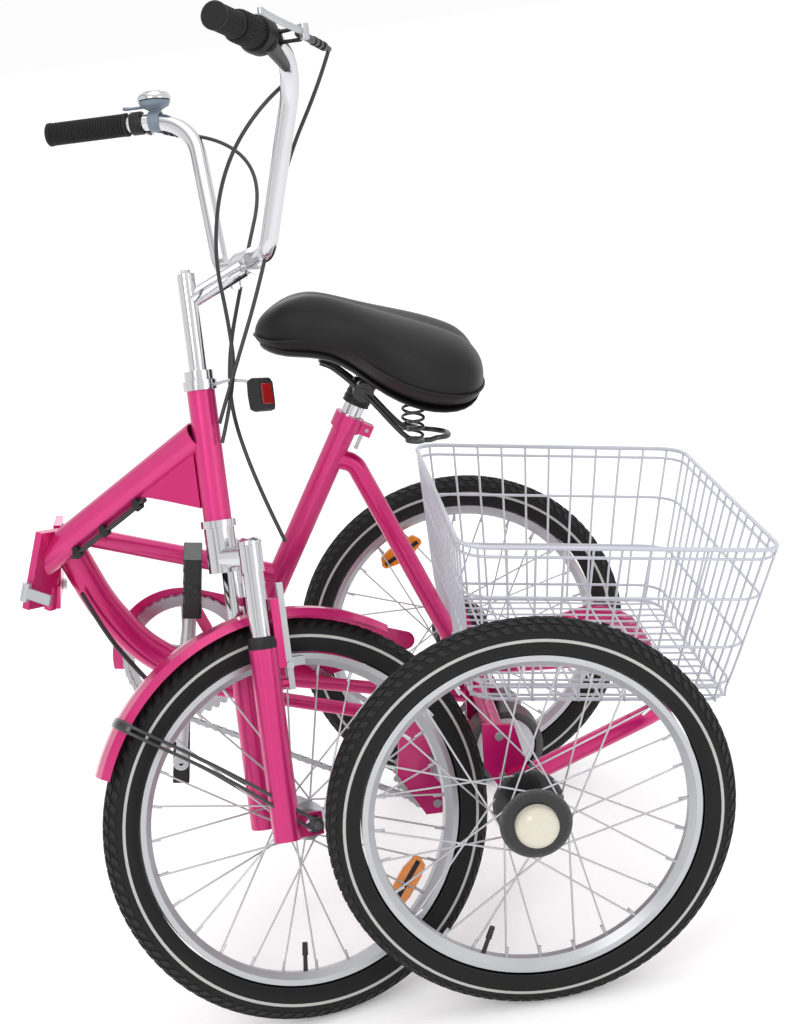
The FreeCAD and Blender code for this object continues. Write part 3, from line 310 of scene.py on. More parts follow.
def make_tyre(prefix, space, centre, body):
    carcass, steps = Shape(), 120
    casing, sections = 22.6, 26
    rings = []
    for k in range(steps):
        a = 2 * math.pi * k / steps
        outside = [on_tyre(centre, a, math.radians(-140 + 280 * i / sections), casing)
                   for i in range(sections + 1)]
        inside = [on_tyre(centre, a, math.radians(140 - 280 * i / 12), casing - 3) for i in range(13)]
        rings.append(outside + inside)
    carcass.loft(rings, loop=True)
    blocks = 96
    for k in range(blocks):
        for row, (middle, half, lean) in enumerate(((0, 8, 0), (23, 9, 1), (-23, 9, -1), (47, 10, 1), (-47, 10, -1))):
            shift = 0.5 * (row in (1, 2))
            a = 2 * math.pi * (k + shift) / blocks
            wide = math.pi / blocks * (0.62 if row < 3 else 0.5)
            low, high = math.radians(middle - half), math.radians(middle + half)
            skew = wide * 0.8 * lean
            corners = [(a - wide - skew, low), (a + wide - skew, low), (a + wide + skew, high), (a - wide + skew, high)]
            carcass.loft([[on_tyre(centre, u, v, r) for u, v in corners] for r in (casing - 0.6, TYRE_HALF - 0.1)])
    carcass.finish(prefix + "_tyre_tread", space, body, "tyre", replaces=(prefix + "_tyre",))
    band = Shape()
    for side in (1, -1):
        rings = []
        for k in range(steps):
            a = 2 * math.pi * k / steps
            rings.append([on_tyre(centre, a, side * math.radians(s), casing + r)
                          for s, r in ((79, 0.3), (88, 0.3), (88, -0.5), (79, -0.5))])
        band.loft(rings, loop=True)
    band.finish(prefix + "_tyre_band", space, body, "tyre", BAND)


def make_wheel(prefix, space, centre, body, cap):
    make_tyre(prefix, space, centre, body)
    valve = Shape()
    angle = math.radians(-75)
    out = Vector((math.cos(angle), 0, math.sin(angle)))
    valve.rod(centre + out * 196, centre + out * 168, 3, 2.6, 12)
    valve.rod(centre + out * 172, centre + out * 156, 3.8, 3.4, 12)
    valve.finish(prefix + "_valve", space, body, "black_plastic")
    nipples = Shape()
    count = 28
    for i in range(count):
        a = 2 * math.pi * (i + 0.5) / count
        out = Vector((math.cos(a), 0, math.sin(a)))
        side = Vector((0, 2 if i % 2 else -2, 0))
        nipples.rod(centre + out * 192 + side, centre + out * 179 + side, 2.1, 1.8, 8)
    nipples.finish(prefix + "_nipples", space, body, "steel")
    if cap:
        dome = Shape()
        face = centre + Vector((0, cap * 32, 0))
        dome.lathe([(26.4, -0.4), (26.4, 9.2), (24.8, 13), (20.4, 17.4), (16, 19.6), (11, 21.3), (5, 22.2), (0, 22.4)],
                   face, (0, cap, 0), 64, loop=False)
        dome.finish(prefix + "_hub_cap", space, body, "black_plastic", CREAM)


def wheel_reflector(name, space, centre, body, degrees, radius, look):
    """A lens clipped across two spokes."""
    piece = Shape()
    a = math.radians(degrees)
    out, along = Vector((math.cos(a), 0, math.sin(a))), Vector((-math.sin(a), 0, math.cos(a)))
    place = axes_at(centre + out * radius, along, out, along.cross(out))
    lens = [(34, -6), (36, 0), (30, 12), (14, 15), (-14, 15), (-30, 12), (-36, 0), (-34, -6), (-14, -12), (14, -12)]
    piece.plate(lens, 8, place)
    piece.finish(name, space, body, "black_plastic", look, bevel=1.5)
    clip = Shape()
    clip.block((-30, -3, -6), (30, 3, 6), place)
    clip.finish(name + "_clip", space, body, "black_plastic", bevel=1)


for prefix, (space, centre, body, cap) in WHEELS.items():
    make_wheel(prefix, space, centre, body, cap)
wheel_reflector("right_wheel_reflector", REAR, WHEELS["right"][1], "rear_axle", 52, 162, AMBER)
wheel_reflector("right_wheel_reflector_low", REAR, WHEELS["right"][1], "rear_axle", 250, 120, AMBER)
wheel_reflector("front_wheel_reflector", FORK, FRONT_HUB, "front_wheel", -19, 164, AMBER)


# ---------------------------------------------------------------- basket

def basket_ring(level, inset=0.0):
    """A rounded rectangle at a level from 0 at the floor to 1 at the rim, with its corner points."""
    half_x = (334 + (403 - 334) * level) / 2 - inset
    half_y = (410 + (530 - 410) * level) / 2 - inset
    z, corner, line = 97 + 216 * level, 34, []
    for sx, sy, first in ((1, 1, 0), (-1, 1, 90), (-1, -1, 180), (1, -1, 270)):
        for k in range(7):
            a = math.radians(first + 15 * k)
            line.append(Vector((-104 + sx * (half_x - corner) + corner * math.cos(a),
                                sy * (half_y - corner) + corner * math.sin(a), z)))
    return line


def make_basket():
    wires = Shape()
    for level, radius in ((1.0, 3.0), (0.94, 2.0), (0.68, 2.0), (0.36, 2.0), (0.1, 2.0), (0.0, 2.4)):
        wires.sweep(basket_ring(level, 3.2), radius, 8, loop=True)
    thin = 1.6

    def u_wire(place, half_low, half_high, count):
        """Wires that run down one wall, across the floor and up the other."""
        for i in range(-count, count + 1):
            share = i / (count + 0.6)
            wires.sweep(smooth_line([place(share, s, z) for s, z in (
                (-half_high, 312), (-(half_low + half_high) / 2, 205), (-half_low, 108), (-half_low + 12, 97),
                (0, 97), (half_low - 12, 97), (half_low, 108), ((half_low + half_high) / 2, 205),
                (half_high, 312))], 3), thin, 6)

    u_wire(lambda share, s, z: Vector((-104 + share * (164 + (z - 97) * 0.158), s, z)), 201.6, 260.6, 5)
    u_wire(lambda share, s, z: Vector((-104 + s, share * (202 + (z - 97) * 0.275), z)), 163.4, 197.0, 7)
    wires.finish("basket_wires", REAR, "rear_frame", "basket", replaces=("basket",))


make_basket()


# ---------------------------------------------------------------- saddle

PAD_SECTIONS = (
    (337, 6, 524, 514), (332, 17, 538, 508), (320, 31, 551, 500), (298, 42, 568, 495), (270, 46, 576, 496),
    (240, 50, 571, 493), (212, 62, 564, 480), (185, 84, 558, 462), (155, 104, 552, 447), (125, 116, 546, 438),
    (95, 119, 538, 436), (70, 115, 529, 440), (54, 96, 514, 450), (46, 66, 500, 462), (44, 30, 490, 470))


def make_saddle():
    pad = Shape()
    count = 40
    rings = []
    for x, half, high, low in PAD_SECTIONS:
        ring = []
        rear = max(0.0, min(1.0, (200 - x) / 110))
        for k in range(count):
            a = 2 * math.pi * k / count
            c, s = math.cos(a), math.sin(a)
            y = half * math.copysign(abs(c) ** 0.82, c)
            middle = low + (high - low) * 0.42
            z = middle + ((high - middle) if s > 0 else (middle - low)) * math.copysign(abs(s) ** 0.78, s)
            if s > 0:
                z -= rear * 13 * math.exp(-(y / 20) ** 2)
                z -= 4 * (1 - rear) * math.exp(-(y / 9) ** 2) * (x < 320)
            ring.append(Vector((x, y, z)))
        rings.append(ring)
    pad.loft(rings)
    body = pad.finish("saddle_pad", REAR, "seat", "saddle", replaces=("saddle",), levels=2)

    seam = Shape()
    half_line = [Vector((x, half * 0.97 + 0.4, low + (high - low) * 0.3)) for x, half, high, low in PAD_SECTIONS]
    outline = half_line + [Vector((p.x, -p.y, p.z)) for p in half_line[::-1]]
    seam.sweep(smooth_line(outline, 3, loop=True), 1.5, 6, loop=True)
    seam.finish("saddle_piping", REAR, "seat", "saddle")

    shell = Shape()
    rings = []
    for x, half, high, low in PAD_SECTIONS[1:-1]:
        rings.append([Vector((x, half * 0.8 * math.cos(a), low + 4 + 9 * math.sin(a)))
                      for a in (2 * math.pi * k / 20 for k in range(20))])
    shell.loft(rings)
    shell.finish("saddle_base", REAR, "seat", "black_plastic", levels=1)

    wires, springs, cups = Shape(), Shape(), Shape()
    for side in (-1, 1):
        wires.sweep(smooth_line([Vector(p) for p in (
            (252, 10 * side, 484), (232, 16 * side, 476), (190, 26 * side, 443), (139, 34 * side, 394),
            (112, 34 * side, 390), (98, 24 * side, 391))], 6), 3.5, 10)
        coil = []
        turns, steps = 4.5, 20
        for k in range(int(turns * steps) + 1):
            a = 2 * math.pi * k / steps
            rise = 392 + 52 * k / (turns * steps)
            coil.append(Vector((128 + 10 * math.cos(a), side * (38 + 10 * math.sin(a)), rise)))
        springs.sweep(coil, 2.0, 8)
        for z in (390, 446):
            cups.lathe([(4, -2), (12.5, -2), (13, 1), (12.5, 3), (4, 3)], (128, 38 * side, z), (0, 0, 1), 24)
    wires.sweep(smooth_line([Vector(p) for p in ((98, -24, 391), (84, -14, 391), (80, 0, 391), (84, 14, 391),
                                                 (98, 24, 391))], 5), 3.5, 10)
    springs.finish("saddle_springs", REAR, "seat", "black_metal")
    cups.finish("saddle_spring_cups", REAR, "seat", "black_metal")
    wires.finish("saddle_rails", REAR, "seat", "black_metal", replaces=("saddle_frame",))
    clamp = Shape()
    clamp.lathe([(5, -27), (13.4, -27), (13.9, -22), (13.9, -12), (11, -9), (11, 9), (13.9, 12), (13.9, 22),
                 (13.4, 27), (5, 27)], (196, 0, 449), (0, 1, 0), 32)
    for side in (-1, 1):
        clamp.lathe([(0, -3), (7, -3), (7, 3), (0, 3)], (196, 25 * side, 449), (0, 1, 0), 6, loop=False)
    clamp.finish("saddle_clamp", REAR, "seat", "black_metal", bevel=0.6)

    boot = Shape()
    ribs = [(14, 14)]
    for k in range(5):
        ribs += [(19.5 - k * 0.4, 16 + k * 7), (16.5 - k * 0.4, 19.5 + k * 7)]
    ribs.append((14, 50))
    boot.lathe(ribs, seat_point(SEAT_TOP), SEAT_UP, 40)
    boot.finish("seat_post_boot", REAR, "seat", "black_plastic", levels=1)


make_saddle()


# ---------------------------------------------------------------- drive: chains, rings, cranks, pedals

def toothed(shape, centre, radius, teeth, thick, hole, axis=(0, 1, 0)):
    """A flat toothed ring with a round hole."""
    axis = Vector(axis)
    across, up = Vector((1, 0, 0)), Vector((0, 0, 1))
    outer, inner = [], []
    for k in range(teeth * 4):
        a = 2 * math.pi * k / (teeth * 4)
        r = radius + (2.9, 1.2, -3.0, 1.2)[k % 4]
        out = across * math.cos(a) + up * math.sin(a)
        outer.append(centre + out * r)
        inner.append(centre + out * hole)
    offset = axis * (thick / 2)
    shape.loft([[p - offset for p in inner], [p - offset for p in outer], [p + offset for p in outer],
                [p + offset for p in inner]], loop=True)


def belt_line(wheels):
    """The line of a chain round circles (x, z, radius), all turned the same way."""
    line = []
    count = len(wheels)
    for i, (x, z, r) in enumerate(wheels):
        angles = []
        for other in (wheels[i - 1], wheels[(i + 1) % count]):
            dx, dz = other[0] - x, other[1] - z
            apart = math.hypot(dx, dz)
            lean = math.acos(max(-1.0, min(1.0, (r - other[2]) / apart)))
            angles.append((math.atan2(dz, dx), lean))
        start = angles[0][0] + angles[0][1]
        end = angles[1][0] - angles[1][1]
        while end < start:
            end += 2 * math.pi
        steps = max(2, int((end - start) * r / 4))
        for k in range(steps + 1):
            a = start + (end - start) * k / steps
            line.append(Vector((x + r * math.cos(a), 0, z + r * math.sin(a))))
    return line


def spaced(line, pitch):
    """Points a pitch apart along a closed line, the pitch adjusted to close it."""
    runs = [(line[(i + 1) % len(line)] - line[i]).length for i in range(len(line))]
    count = 2 * round(sum(runs) / pitch / 2)
    step, points, i, gone = sum(runs) / count, [], 0, 0.0
    for k in range(count):
        while gone + runs[i] < k * step:
            gone += runs[i]
            i += 1
        share = (k * step - gone) / runs[i] if runs[i] else 0
        points.append(line[i].lerp(line[(i + 1) % len(line)], share))
    return points


def make_chain(links, wheels, middle):
    pins = [p + Vector((0, middle, 0)) for p in spaced(belt_line(wheels), LINK)]
    for i, p in enumerate(pins):
        q = pins[(i + 1) % len(pins)]
        links.rod(p - Vector((0, 3.6, 0)), p + Vector((0, 3.6, 0)), 3.7, sides=8)
        along = (q - p).normalized()
        up = Vector((0, 1, 0)).cross(along)
        for side in (-1, 1):
            y = side * (3.2 if i % 2 else 2.3)
            place = axes_at((p + q) / 2 + Vector((0, y, 0)), along, up, along.cross(up))
            half = (q - p).length / 2
            links.plate([(half + 3.6, 0), (half + 1, 3.8), (0, 2.6), (-half - 1, 3.8), (-half - 3.6, 0),
                         (-half - 1, -3.8), (0, -2.6), (half + 1, -3.8)], 0.9, place)


def make_drive():
    links = Shape()
    make_chain(links, [(BB.x, BB.z, 84.9), (80, -105, 30), (32, -158, 21)][::1], CHAIN_Y)
    make_chain(links, [(80, -105, 36.6), (0, 0, 36.6)], 0)
    links.finish("chain_links", REAR, "rear_frame", "steel", replaces=("drive_chains",))

    cogs = Shape()
    for i, teeth in enumerate((12, 14, 17, 20, 23)):
        toothed(cogs, Vector((80, CHAIN_Y - 6 + 6 * i, -105)), 24 + 6 * (i), teeth, 2.2, 10)
    toothed(cogs, Vector((80, 0, -105)), 36.6, 18, 2.3, 5)
    cogs.rod((80, -74, -105), (80, 70, -105), 5.9)
    cogs.rod((80, CHAIN_Y - 8, -105), (80, -20, -105), 16, sides=32)
    cogs.finish("jackshaft_cogs", REAR, "jackshaft", "steel", replaces=("jackshaft_cassette",))

    tilt = math.radians(92.5)
    reach = Vector((math.cos(tilt), 0, math.sin(tilt))) * 165
    arms = Shape()
    arms.rod(BB + Vector((0, -84, 0)), BB + Vector((0, 71, 0)), 7.9, sides=32)
    for side, away in ((-1, 77), (1, 64)):
        root = BB + Vector((0, side * away, 0))
        end = root + reach * side
        arms.sweep([root.lerp(end, t) for t in (0, 0.12, 0.5, 0.88, 1)], [11, 9.6, 8.2, 8, 9], 16,
                   flat=0.7, normal=reach.cross(Vector((0, 1, 0))))
        for centre, radius in ((root, 14.6), (end, 10.8)):
            arms.lathe([(3, -7), (radius - 1.5, -7), (radius, -5.5), (radius, 5.5), (radius - 1.5, 7), (3, 7)],
                       centre, (0, 1, 0), 32)
    arms.finish("crank_arms", REAR, "crankset", "steel", replaces=("crankset",))
    ring = Shape()
    ring_centre = BB + Vector((0, CHAIN_Y, 0))
    toothed(ring, ring_centre, 84.9, 42, 2.3, 72)
    for k in range(5):
        a = 2 * math.pi * k / 5 + 0.3
        out = Vector((math.cos(a), 0, math.sin(a)))
        ring.sweep([ring_centre + out * r for r in (14, 40, 74)], [11, 7.5, 8.5], 12, flat=0.2, normal=out.cross(Vector((0, 1, 0))))
        ring.rod(ring_centre + out * 71 - Vector((0, 3, 0)), ring_centre + out * 71 + Vector((0, 3, 0)), 4, sides=12)
    ring.lathe([(8, -9), (17, -9), (17, 5), (8, 5)], ring_centre, (0, 1, 0), 40)
    ring.finish("chainring", REAR, "crankset", "steel")
    for name, side, away in (("pedal_left", 1, 64), ("pedal_right", -1, 77)):
        make_pedal(name, BB + Vector((0, side * (away + 7.6), 0)) + reach * side, side)


def make_pedal(name, eye, side):
    """A cage with notched edges round a barrel; the pedal lies along the crank."""
    place = axes_at(eye, Vector((1, 0, 0)), Vector((0, side, 0)), Vector((0, 0, side)))
    cage, lens = Shape(), Shape()
    for face in (-1, 1):
        cage.block((-11.5, 5, face * 37 - 2), (11.5, 83, face * 37 + 1), place) if face < 0 else \
            cage.block((-11.5, 5, 36), (11.5, 83, 37.8), place)
        for k in range(9):
            y = 9 + k * 8.6
            for x in (-11.8, 9.4):
                cage.block((x, y, face * 36.4 - 1.4), (x + 2.4, y + 4, face * 36.4 + 1.4), place)
        lens.block((-7, 24, face * 34.6 - 1.2), (7, 62, face * 34.6 + 1.2), place)
    for y in (5, 79):
        cage.block((-9, y, -37), (9, y + 4, 37), place)
    for x in (-11.6, 8.6):
        for z in (-24, -8, 5, 21):
            cage.block((x, 6, z), (x + 3, 82, z + 4), place)
    cage.finish(name + "_cage", REAR, name, "black_plastic", replaces=(name,), bevel=0.4)
    barrel = Shape()
    barrel.lathe([(4, 0), (8, 0), (8, 6), (10, 8), (10, 80), (7, 84), (0, 84)],
                 place @ Vector((0, 0, 0)), Vector((0, side, 0)), 24, loop=False)
    barrel.finish(name + "_barrel", REAR, name, "black_plastic")
    lens.finish(name + "_lenses", REAR, name, "black_plastic", AMBER, bevel=0.6)


make_drive()


# ---------------------------------------------------------------- handlebar fittings

def bar_run(side):
    """The two ends of the straight run that carries a grip."""
    inner, outer = fork_point(917, 105, 173), fork_point(926, -48, 304)
    if side < 0:
        inner.y, outer.y = -inner.y, -outer.y
    return inner, outer


def lever_axes(side):
    start, end = bar_run(side)
    out = (end - start).normalized()
    ahead = out.cross(STEER_UP)
    ahead = (ahead if ahead.dot(STEER_AHEAD) > 0 else -ahead).normalized()
    return axes_at(end - out * (118 if side > 0 else 122), out, ahead, out.cross(ahead))


CABLE_STARTS = {
    "shift": fork_point(893, 108, -152),
    "brake_left": fork_point(892, 92, 168),
    "brake_right": fork_point(930, 170, -130),
}


def make_grips():
    grips = Shape()
    for side, length in ((1, 112), (-1, 46)):
        start, end = bar_run(side)
        out = (end - start).normalized()
        outline = [(BAR_RADIUS, -length), (15.8, -length), (15.8, -length + 4)]
        rib = 4.0
        d = -length + 5
        while d < -3:
            outline += [(14.2, d), (15.4, d + 0.8), (15.4, d + rib - 1.4), (14.2, d + rib - 0.6)]
            d += rib
        outline += [(15.9, -2), (15.9, 2), (13.5, 3.9), (0, 3.9)]
        grips.lathe(outline, end, out, 36, loop=False)
    grips.finish("grip_ribs", BARS, "steering", "grip", replaces=("grips",))


def make_levers():
    perches = Shape()
    for name, side in (("left", 1), ("right", -1)):
        lug = lever_axes(side)
        blade = Shape()
        path = [lug @ Vector(p) for p in ((-8, 44.5, 0), (14, 43.5, 0), (44, 43, 0), (76, 44, 0), (96, 45.5, 0), (103, 45, 0))]
        blade.sweep(smooth_line(path, 5), 4.4, 12, flat=0.62, normal=lug.to_3x3() @ Vector((0, 0, 1)))
        blade.rod(lug @ Vector((-8, 45, -8.5)), lug @ Vector((-8, 45, 8.5)), 5.6, sides=24)
        blade.rod(lug @ Vector((101, 45, -3.4)), lug @ Vector((101, 45, 3.4)), 3.4, sides=16)
        blade.finish("brake_blade_" + name, BARS, "brake_lever_" + name, "alloy", replaces=("brake_lever_" + name,))
        start, end = bar_run(side)
        out = (end - start).normalized()
        place = end - out * (134 if side > 0 else 138)
        perches.lathe([(BAR_RADIUS, 0), (15, 0), (15.6, 2), (15.6, 14), (15, 16), (BAR_RADIUS, 16)], place, out, 40)
        for z in (-1, 1):
            perches.sweep([lug @ Vector(p) for p in ((-8, 12, z * 6), (-10, 26, z * 6.4), (-9, 40, z * 7.6))],
                          [5, 4.2, 4.6], 10, flat=0.5)
        root, mouth = lug @ Vector((-9, 38, 0)), CABLE_STARTS["brake_" + name]
        perches.rod(root, mouth, 5.2, 3.6, 16)
        for share in (0.45, 0.6, 0.75):
            perches.rod(root.lerp(mouth, share), root.lerp(mouth, share + 0.08), 5.6, sides=16)
        perches.rod(lug @ Vector((-8, 14, 9)), lug @ Vector((-8, 14, -9)), 2.6, sides=6)
    perches.finish("brake_perch_bodies", BARS, "steering", "black_plastic", replaces=("brake_perches",), bevel=0.4)


def make_shifter():
    start, end = bar_run(-1)
    out = (end - start).normalized()
    inner = end - out * 116
    drum = Shape()
    ribs, count = [], 30
    across, up = out.orthogonal().normalized(), None
    up = out.cross(across)
    for d, base, rise in ((24, 16.5, 0), (27, 17.4, 1.5), (62, 17.4, 1.5), (68, 16.2, 0.8)):
        ring = []
        for k in range(count * 4):
            a = 2 * math.pi * k / (count * 4)
            r = base + (rise if k % 4 < 2 else 0)
            ring.append(inner + out * d + (across * math.cos(a) + up * math.sin(a)) * r)
        ribs.append(ring)
    drum.loft(ribs)
    drum.finish("shifter_drum_ribs", BARS, "twist_shifter", "grip", replaces=("twist_shifter",))
    house = Shape()
    house.lathe([(BAR_RADIUS, 0), (19, 0), (22.4, 4), (22.6, 18), (20.6, 23.4), (BAR_RADIUS, 23.4)], inner, out, 48)
    lug = lever_axes(-1)
    house.sweep([lug @ Vector((18, 12, -12)), CABLE_STARTS["shift"]], [10, 4.2], 16)
    house.finish("shifter_housing", BARS, "steering", "black_plastic")


def make_bell():
    start, end = bar_run(1)
    out = (end - start).normalized()
    rise = (STEER_UP - out * out.dot(STEER_UP)).normalized()
    base = axes_at(end - out * 152, out, rise.cross(out), rise)
    dome, cup, thumb = Shape(), Shape(), Shape()
    dome.lathe([(5, 27), (22.6, 27), (22.9, 29), (22, 33), (18.6, 37.4), (12, 40.6), (5, 41.8), (0, 42)],
               base @ Vector((0, 0, 0)), rise, 64, loop=False)
    dome.lathe([(0, 41.9), (3, 41.9), (3, 43), (0, 43.4)], base @ Vector((0, 0, 0)), rise, 20, loop=False)
    dome.finish("bell_dome", BARS, "steering", "chrome", replaces=("bell",))
    cup.lathe([(0, 14), (8, 14), (19, 20), (21.5, 25.8), (19, 26.4), (0, 26.4)], base @ Vector((0, 0, 0)), rise, 48)
    cup.lathe([(BAR_RADIUS, -8), (13.6, -8), (14, -6), (14, 6), (13.6, 8), (BAR_RADIUS, 8)],
              base @ Vector((0, 0, 0)), out, 40)
    cup.block((-7, -6, 10), (7, 6, 17), base)
    cup.finish("bell_bracket", BARS, "steering", "black_plastic", GREY, bevel=0.5)
    thumb.sweep(smooth_line([base @ Vector(p) for p in ((14, 0, 20.4), (27, 0, 20.4), (37, 0, 20.6), (45, 0, 21.5))], 4),
                [2] * 8 + [2.4] * 5, 10, normal=base.to_3x3() @ Vector((0, 0, 1)))
    thumb.finish("bell_thumb", BARS, "bell_lever", "black_plastic", GREY, replaces=("bell_lever",))


def make_stem_bolts():
    bolts = Shape()
    lug = fork_point(682, 70)
    for side in (-1, 1):
        bolts.lathe([(0, 0), (6.4, 0), (6.4, 4.5), (0, 4.5)], lug - STEER_UP * 12 + Vector((0, side * 12.2, 0)),
                    (0, side, 0), 6, loop=False)
    bolts.lathe([(0, 0), (6, 0), (6, 5), (3, 5), (3, 3), (0, 3)], fork_point(688, 0), STEER_UP, 6, loop=False)
    bolts.lathe([(BAR_RADIUS, -24.4), (17.3, -24.4), (17.6, -22), (17.6, -19), (17.2, -18)], fork_point(696, 86),
                (0, 1, 0), 40)
    bolts.lathe([(BAR_RADIUS, 24.4), (17.3, 24.4), (17.6, 22), (17.6, 19), (17.2, 18)], fork_point(696, 86),
                (0, 1, 0), 40)
    bolts.finish("stem_bolts", BARS, "steering", "chrome", bevel=0.3)


make_grips()
make_levers()
make_shifter()
make_bell()
make_stem_bolts()


# ---------------------------------------------------------------- fork and front wheel fittings

def make_fork_fittings():
    seals, caps, stays, pads = Shape(), Shape(), Shape(), Shape()
    for side in (-1, 1):
        leg = fork_point(0, 22, side * 52)
        seals.lathe([(12.8, 222), (17.6, 222), (17.9, 225), (17.9, 231), (15.5, 236), (13, 237)], leg, STEER_UP, 36)
        caps.lathe([(13, 348), (14.8, 350), (14.4, 354), (10, 358), (0, 359.5)], leg, STEER_UP, 32, loop=False)
        nut = FRONT_HUB + Vector((0, side * 55.6, 0))
        caps.lathe([(5, 0), (11, 0), (11, 2), (9.3, 2.2), (9.3, 8.4), (5, 8.4)], nut, (0, side, 0), 36)
        angle = math.radians(165)
        edge = FRONT_HUB + Vector((math.cos(angle), 0, math.sin(angle))) * 254 + Vector((0, side * 30, 0))
        for spread in (-4, 4):
            mid = FRONT_HUB + Vector((-120, side * 52, 36 + spread))
            eye = FRONT_HUB + Vector((-6, side * 66, spread * 1.5))
            stays.sweep(smooth_line([eye, mid, edge + Vector((0, 0, spread))], 8), 2.2, 8)
        stays.lathe([(5, 0), (9, 0), (9, 2.4), (5, 2.4)], FRONT_HUB + Vector((0, side * 64.6, 0)), (0, side, 0), 24)
        pads.lathe([(0, 0), (5.5, 0), (5.5, 4), (0, 4)], fork_point(196, 54, side * 48), (0, side, 0), 6, loop=False)
    seals.finish("fork_seals", FORK, "fork_lowers", "black_plastic")
    caps.finish("fork_caps", FORK, "steering", "chrome")
    stays.finish("fender_stays", FORK, "fork_lowers", "black_metal")
    pads.finish("brake_pad_nuts", FORK, "fork_lowers", "steel", bevel=0.3)
    clamp = Shape()
    angle = math.radians(165)
    out = Vector((math.cos(angle), 0, math.sin(angle)))
    along = Vector((-math.sin(angle), 0, math.cos(angle)))
    strip = [FRONT_HUB + out * r + Vector((0, y, 0)) for y, r in
             ((-30.5, 252), (-29.6, 256), (-20, 264.2), (0, 265.8), (20, 264.2), (29.6, 256), (30.5, 252))]
    clamp.sweep(strip, 6.5, 10, flat=0.18, normal=along)
    clamp.finish("fender_clamp", FORK, "fork_lowers", "black_metal")


def make_front_reflector():
    arm, body, lens = Shape(), Shape(), Shape()
    foot = fork_point(549, 21)
    head = fork_point(544, 76)
    arm.sweep(smooth_line([foot, fork_point(551, 40), fork_point(548, 60), head], 6), 2.0, 8)
    arm.finish("front_reflector_arm", FRONT, "front_frame", "steel")
    place = axes_at(fork_point(528, 82), STEER_AHEAD, Vector((0, 1, 0)), STEER_AHEAD.cross(Vector((0, 1, 0))))
    outline = [(0, -21), (8, -19), (9, -10), (9, 14), (6, 20), (0, 21), (-7, 17), (-8, 0), (-7, -17)]
    body.loft([[place @ Vector((x, y, z)) for x, z in outline] for y in (-20, 20)])
    body.finish("front_reflector_body", FRONT, "front_frame", "black_plastic", bevel=2)
    lens.block((8.6, -13, -12), (9.8, 13, 13), place)
    lens.finish("front_reflector_lens", FRONT, "front_frame", "black_plastic", RED, bevel=1)


make_fork_fittings()
make_front_reflector()


# ---------------------------------------------------------------- rear frame fittings

def make_rear_fittings():
    bolts = Shape()
    for y in (-235, -68, 68, 235):
        for x, z in ((30, 62), (22, 8)):
            for side in (-1, 1):
                bolts.lathe([(0, 0), (6, 0), (6, 4), (0, 4)], Vector((x, y + side * 3, z)), (0, side, 0), 6, loop=False)
    for z in (-38, 38):
        bolts.lathe([(0, 0), (7, 0), (7, 5), (0, 5)], Vector((584 - 0.2, -20, 211 + z)), (-1, 0, 0), 6, loop=False)
    bolts.finish("frame_bolts", REAR, "rear_frame", "steel", bevel=0.3)
    nut = Shape()
    nut.rod(seat_point(SEAT_TOP - 10, 27, -22), seat_point(SEAT_TOP - 10, 27, -9), 6, sides=20)
    nut.rod(seat_point(SEAT_TOP - 10, 27, 9), seat_point(SEAT_TOP - 10, 27, -24), 3, sides=16)
    nut.finish("seat_clamp_bolt", REAR, "rear_frame", "steel", bevel=0.4)


def make_cable_clips():
    clips = Shape()
    join = fork_point(495, 0)
    along = (Vector((600, 0, 229)) - join).normalized()
    below = Vector((along.z, 0, -along.x))
    below = below if below.z < 0 else -below
    for d in (130, 190, 240):
        middle = join + along * d + below * 24.5 + Vector((0, -12, 0))
        clips.sweep([middle + along * s for s in (-5, 5)], 6.4, 16)
        clips.sweep([middle - below * 6 + along * s for s in (-4, 4)], 4, 12)
    clips.finish("cable_clips", FRONT, "front_frame", "black_plastic", bevel=0.5)


make_rear_fittings()
make_cable_clips()


# ---------------------------------------------------------------- cables

def cable(name, space, body, points, radius=2.5, replaces=()):
    """A cable as one smooth curve whose control points are the route's points."""
    data = bpy.data.curves.new(name, "CURVE")
    data.dimensions = "3D"
    line = data.splines.new("NURBS")
    line.points.add(len(points) - 1)
    for knot, p in zip(line.points, points):
        knot.co = (*(space @ p * 0.001), 1)
    line.order_u = 3
    line.use_endpoint_u = True
    line.resolution_u = 16
    data.bevel_depth = radius / 1000
    data.bevel_resolution = 3
    data.use_fill_caps = True
    data.materials.append(LOOKS["cable"])
    piece = bpy.data.objects.new(name, data)
    bpy.context.scene.collection.objects.link(piece)
    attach(piece, body)
    if replaces:
        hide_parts(*replaces)
    return piece


def line_length(piece):
    """The length of a curve's own centreline, in metres."""
    bare = piece.data.copy()
    bare.bevel_depth = 0
    probe = bpy.data.objects.new("probe", bare)
    mesh = bpy.data.meshes.new_from_object(probe)
    total = sum((mesh.vertices[a].co - mesh.vertices[b].co).length for a, b in (e.vertices for e in mesh.edges))
    bpy.data.objects.remove(probe)
    bpy.data.curves.remove(bare)
    bpy.data.meshes.remove(mesh)
    return total


def free_cable(name, space, body, points, replaces=(), **facts):
    piece = cable(name, space, body, points, replaces=replaces)
    line_length(piece)
    return piece


free_cable("shift_cable", BARS, "steering", [
    CABLE_STARTS["shift"], fork_point(869, 70, -140), fork_point(800, 28, -92), fork_point(706, 18, -54),
    fork_point(620, 32, -40), fork_point(550, 34, -35), fork_point(476, 9, -25)], replaces=("control_cables",))
free_cable("front_brake_cable", BARS, "steering", [
    CABLE_STARTS["brake_left"], fork_point(878, 132, 128), fork_point(812, 156, 80), fork_point(700, 96, 36),
    fork_point(560, 38, 10), fork_point(450, 40, -16), fork_point(346, 68, -43)])
free_cable("rear_brake_cable", BARS, "steering", [
    CABLE_STARTS["brake_right"], fork_point(890, 154, -124), fork_point(800, 108, -98), fork_point(660, 70, -60),
    fork_point(570, 34, -43), fork_point(500, 8, -27)])

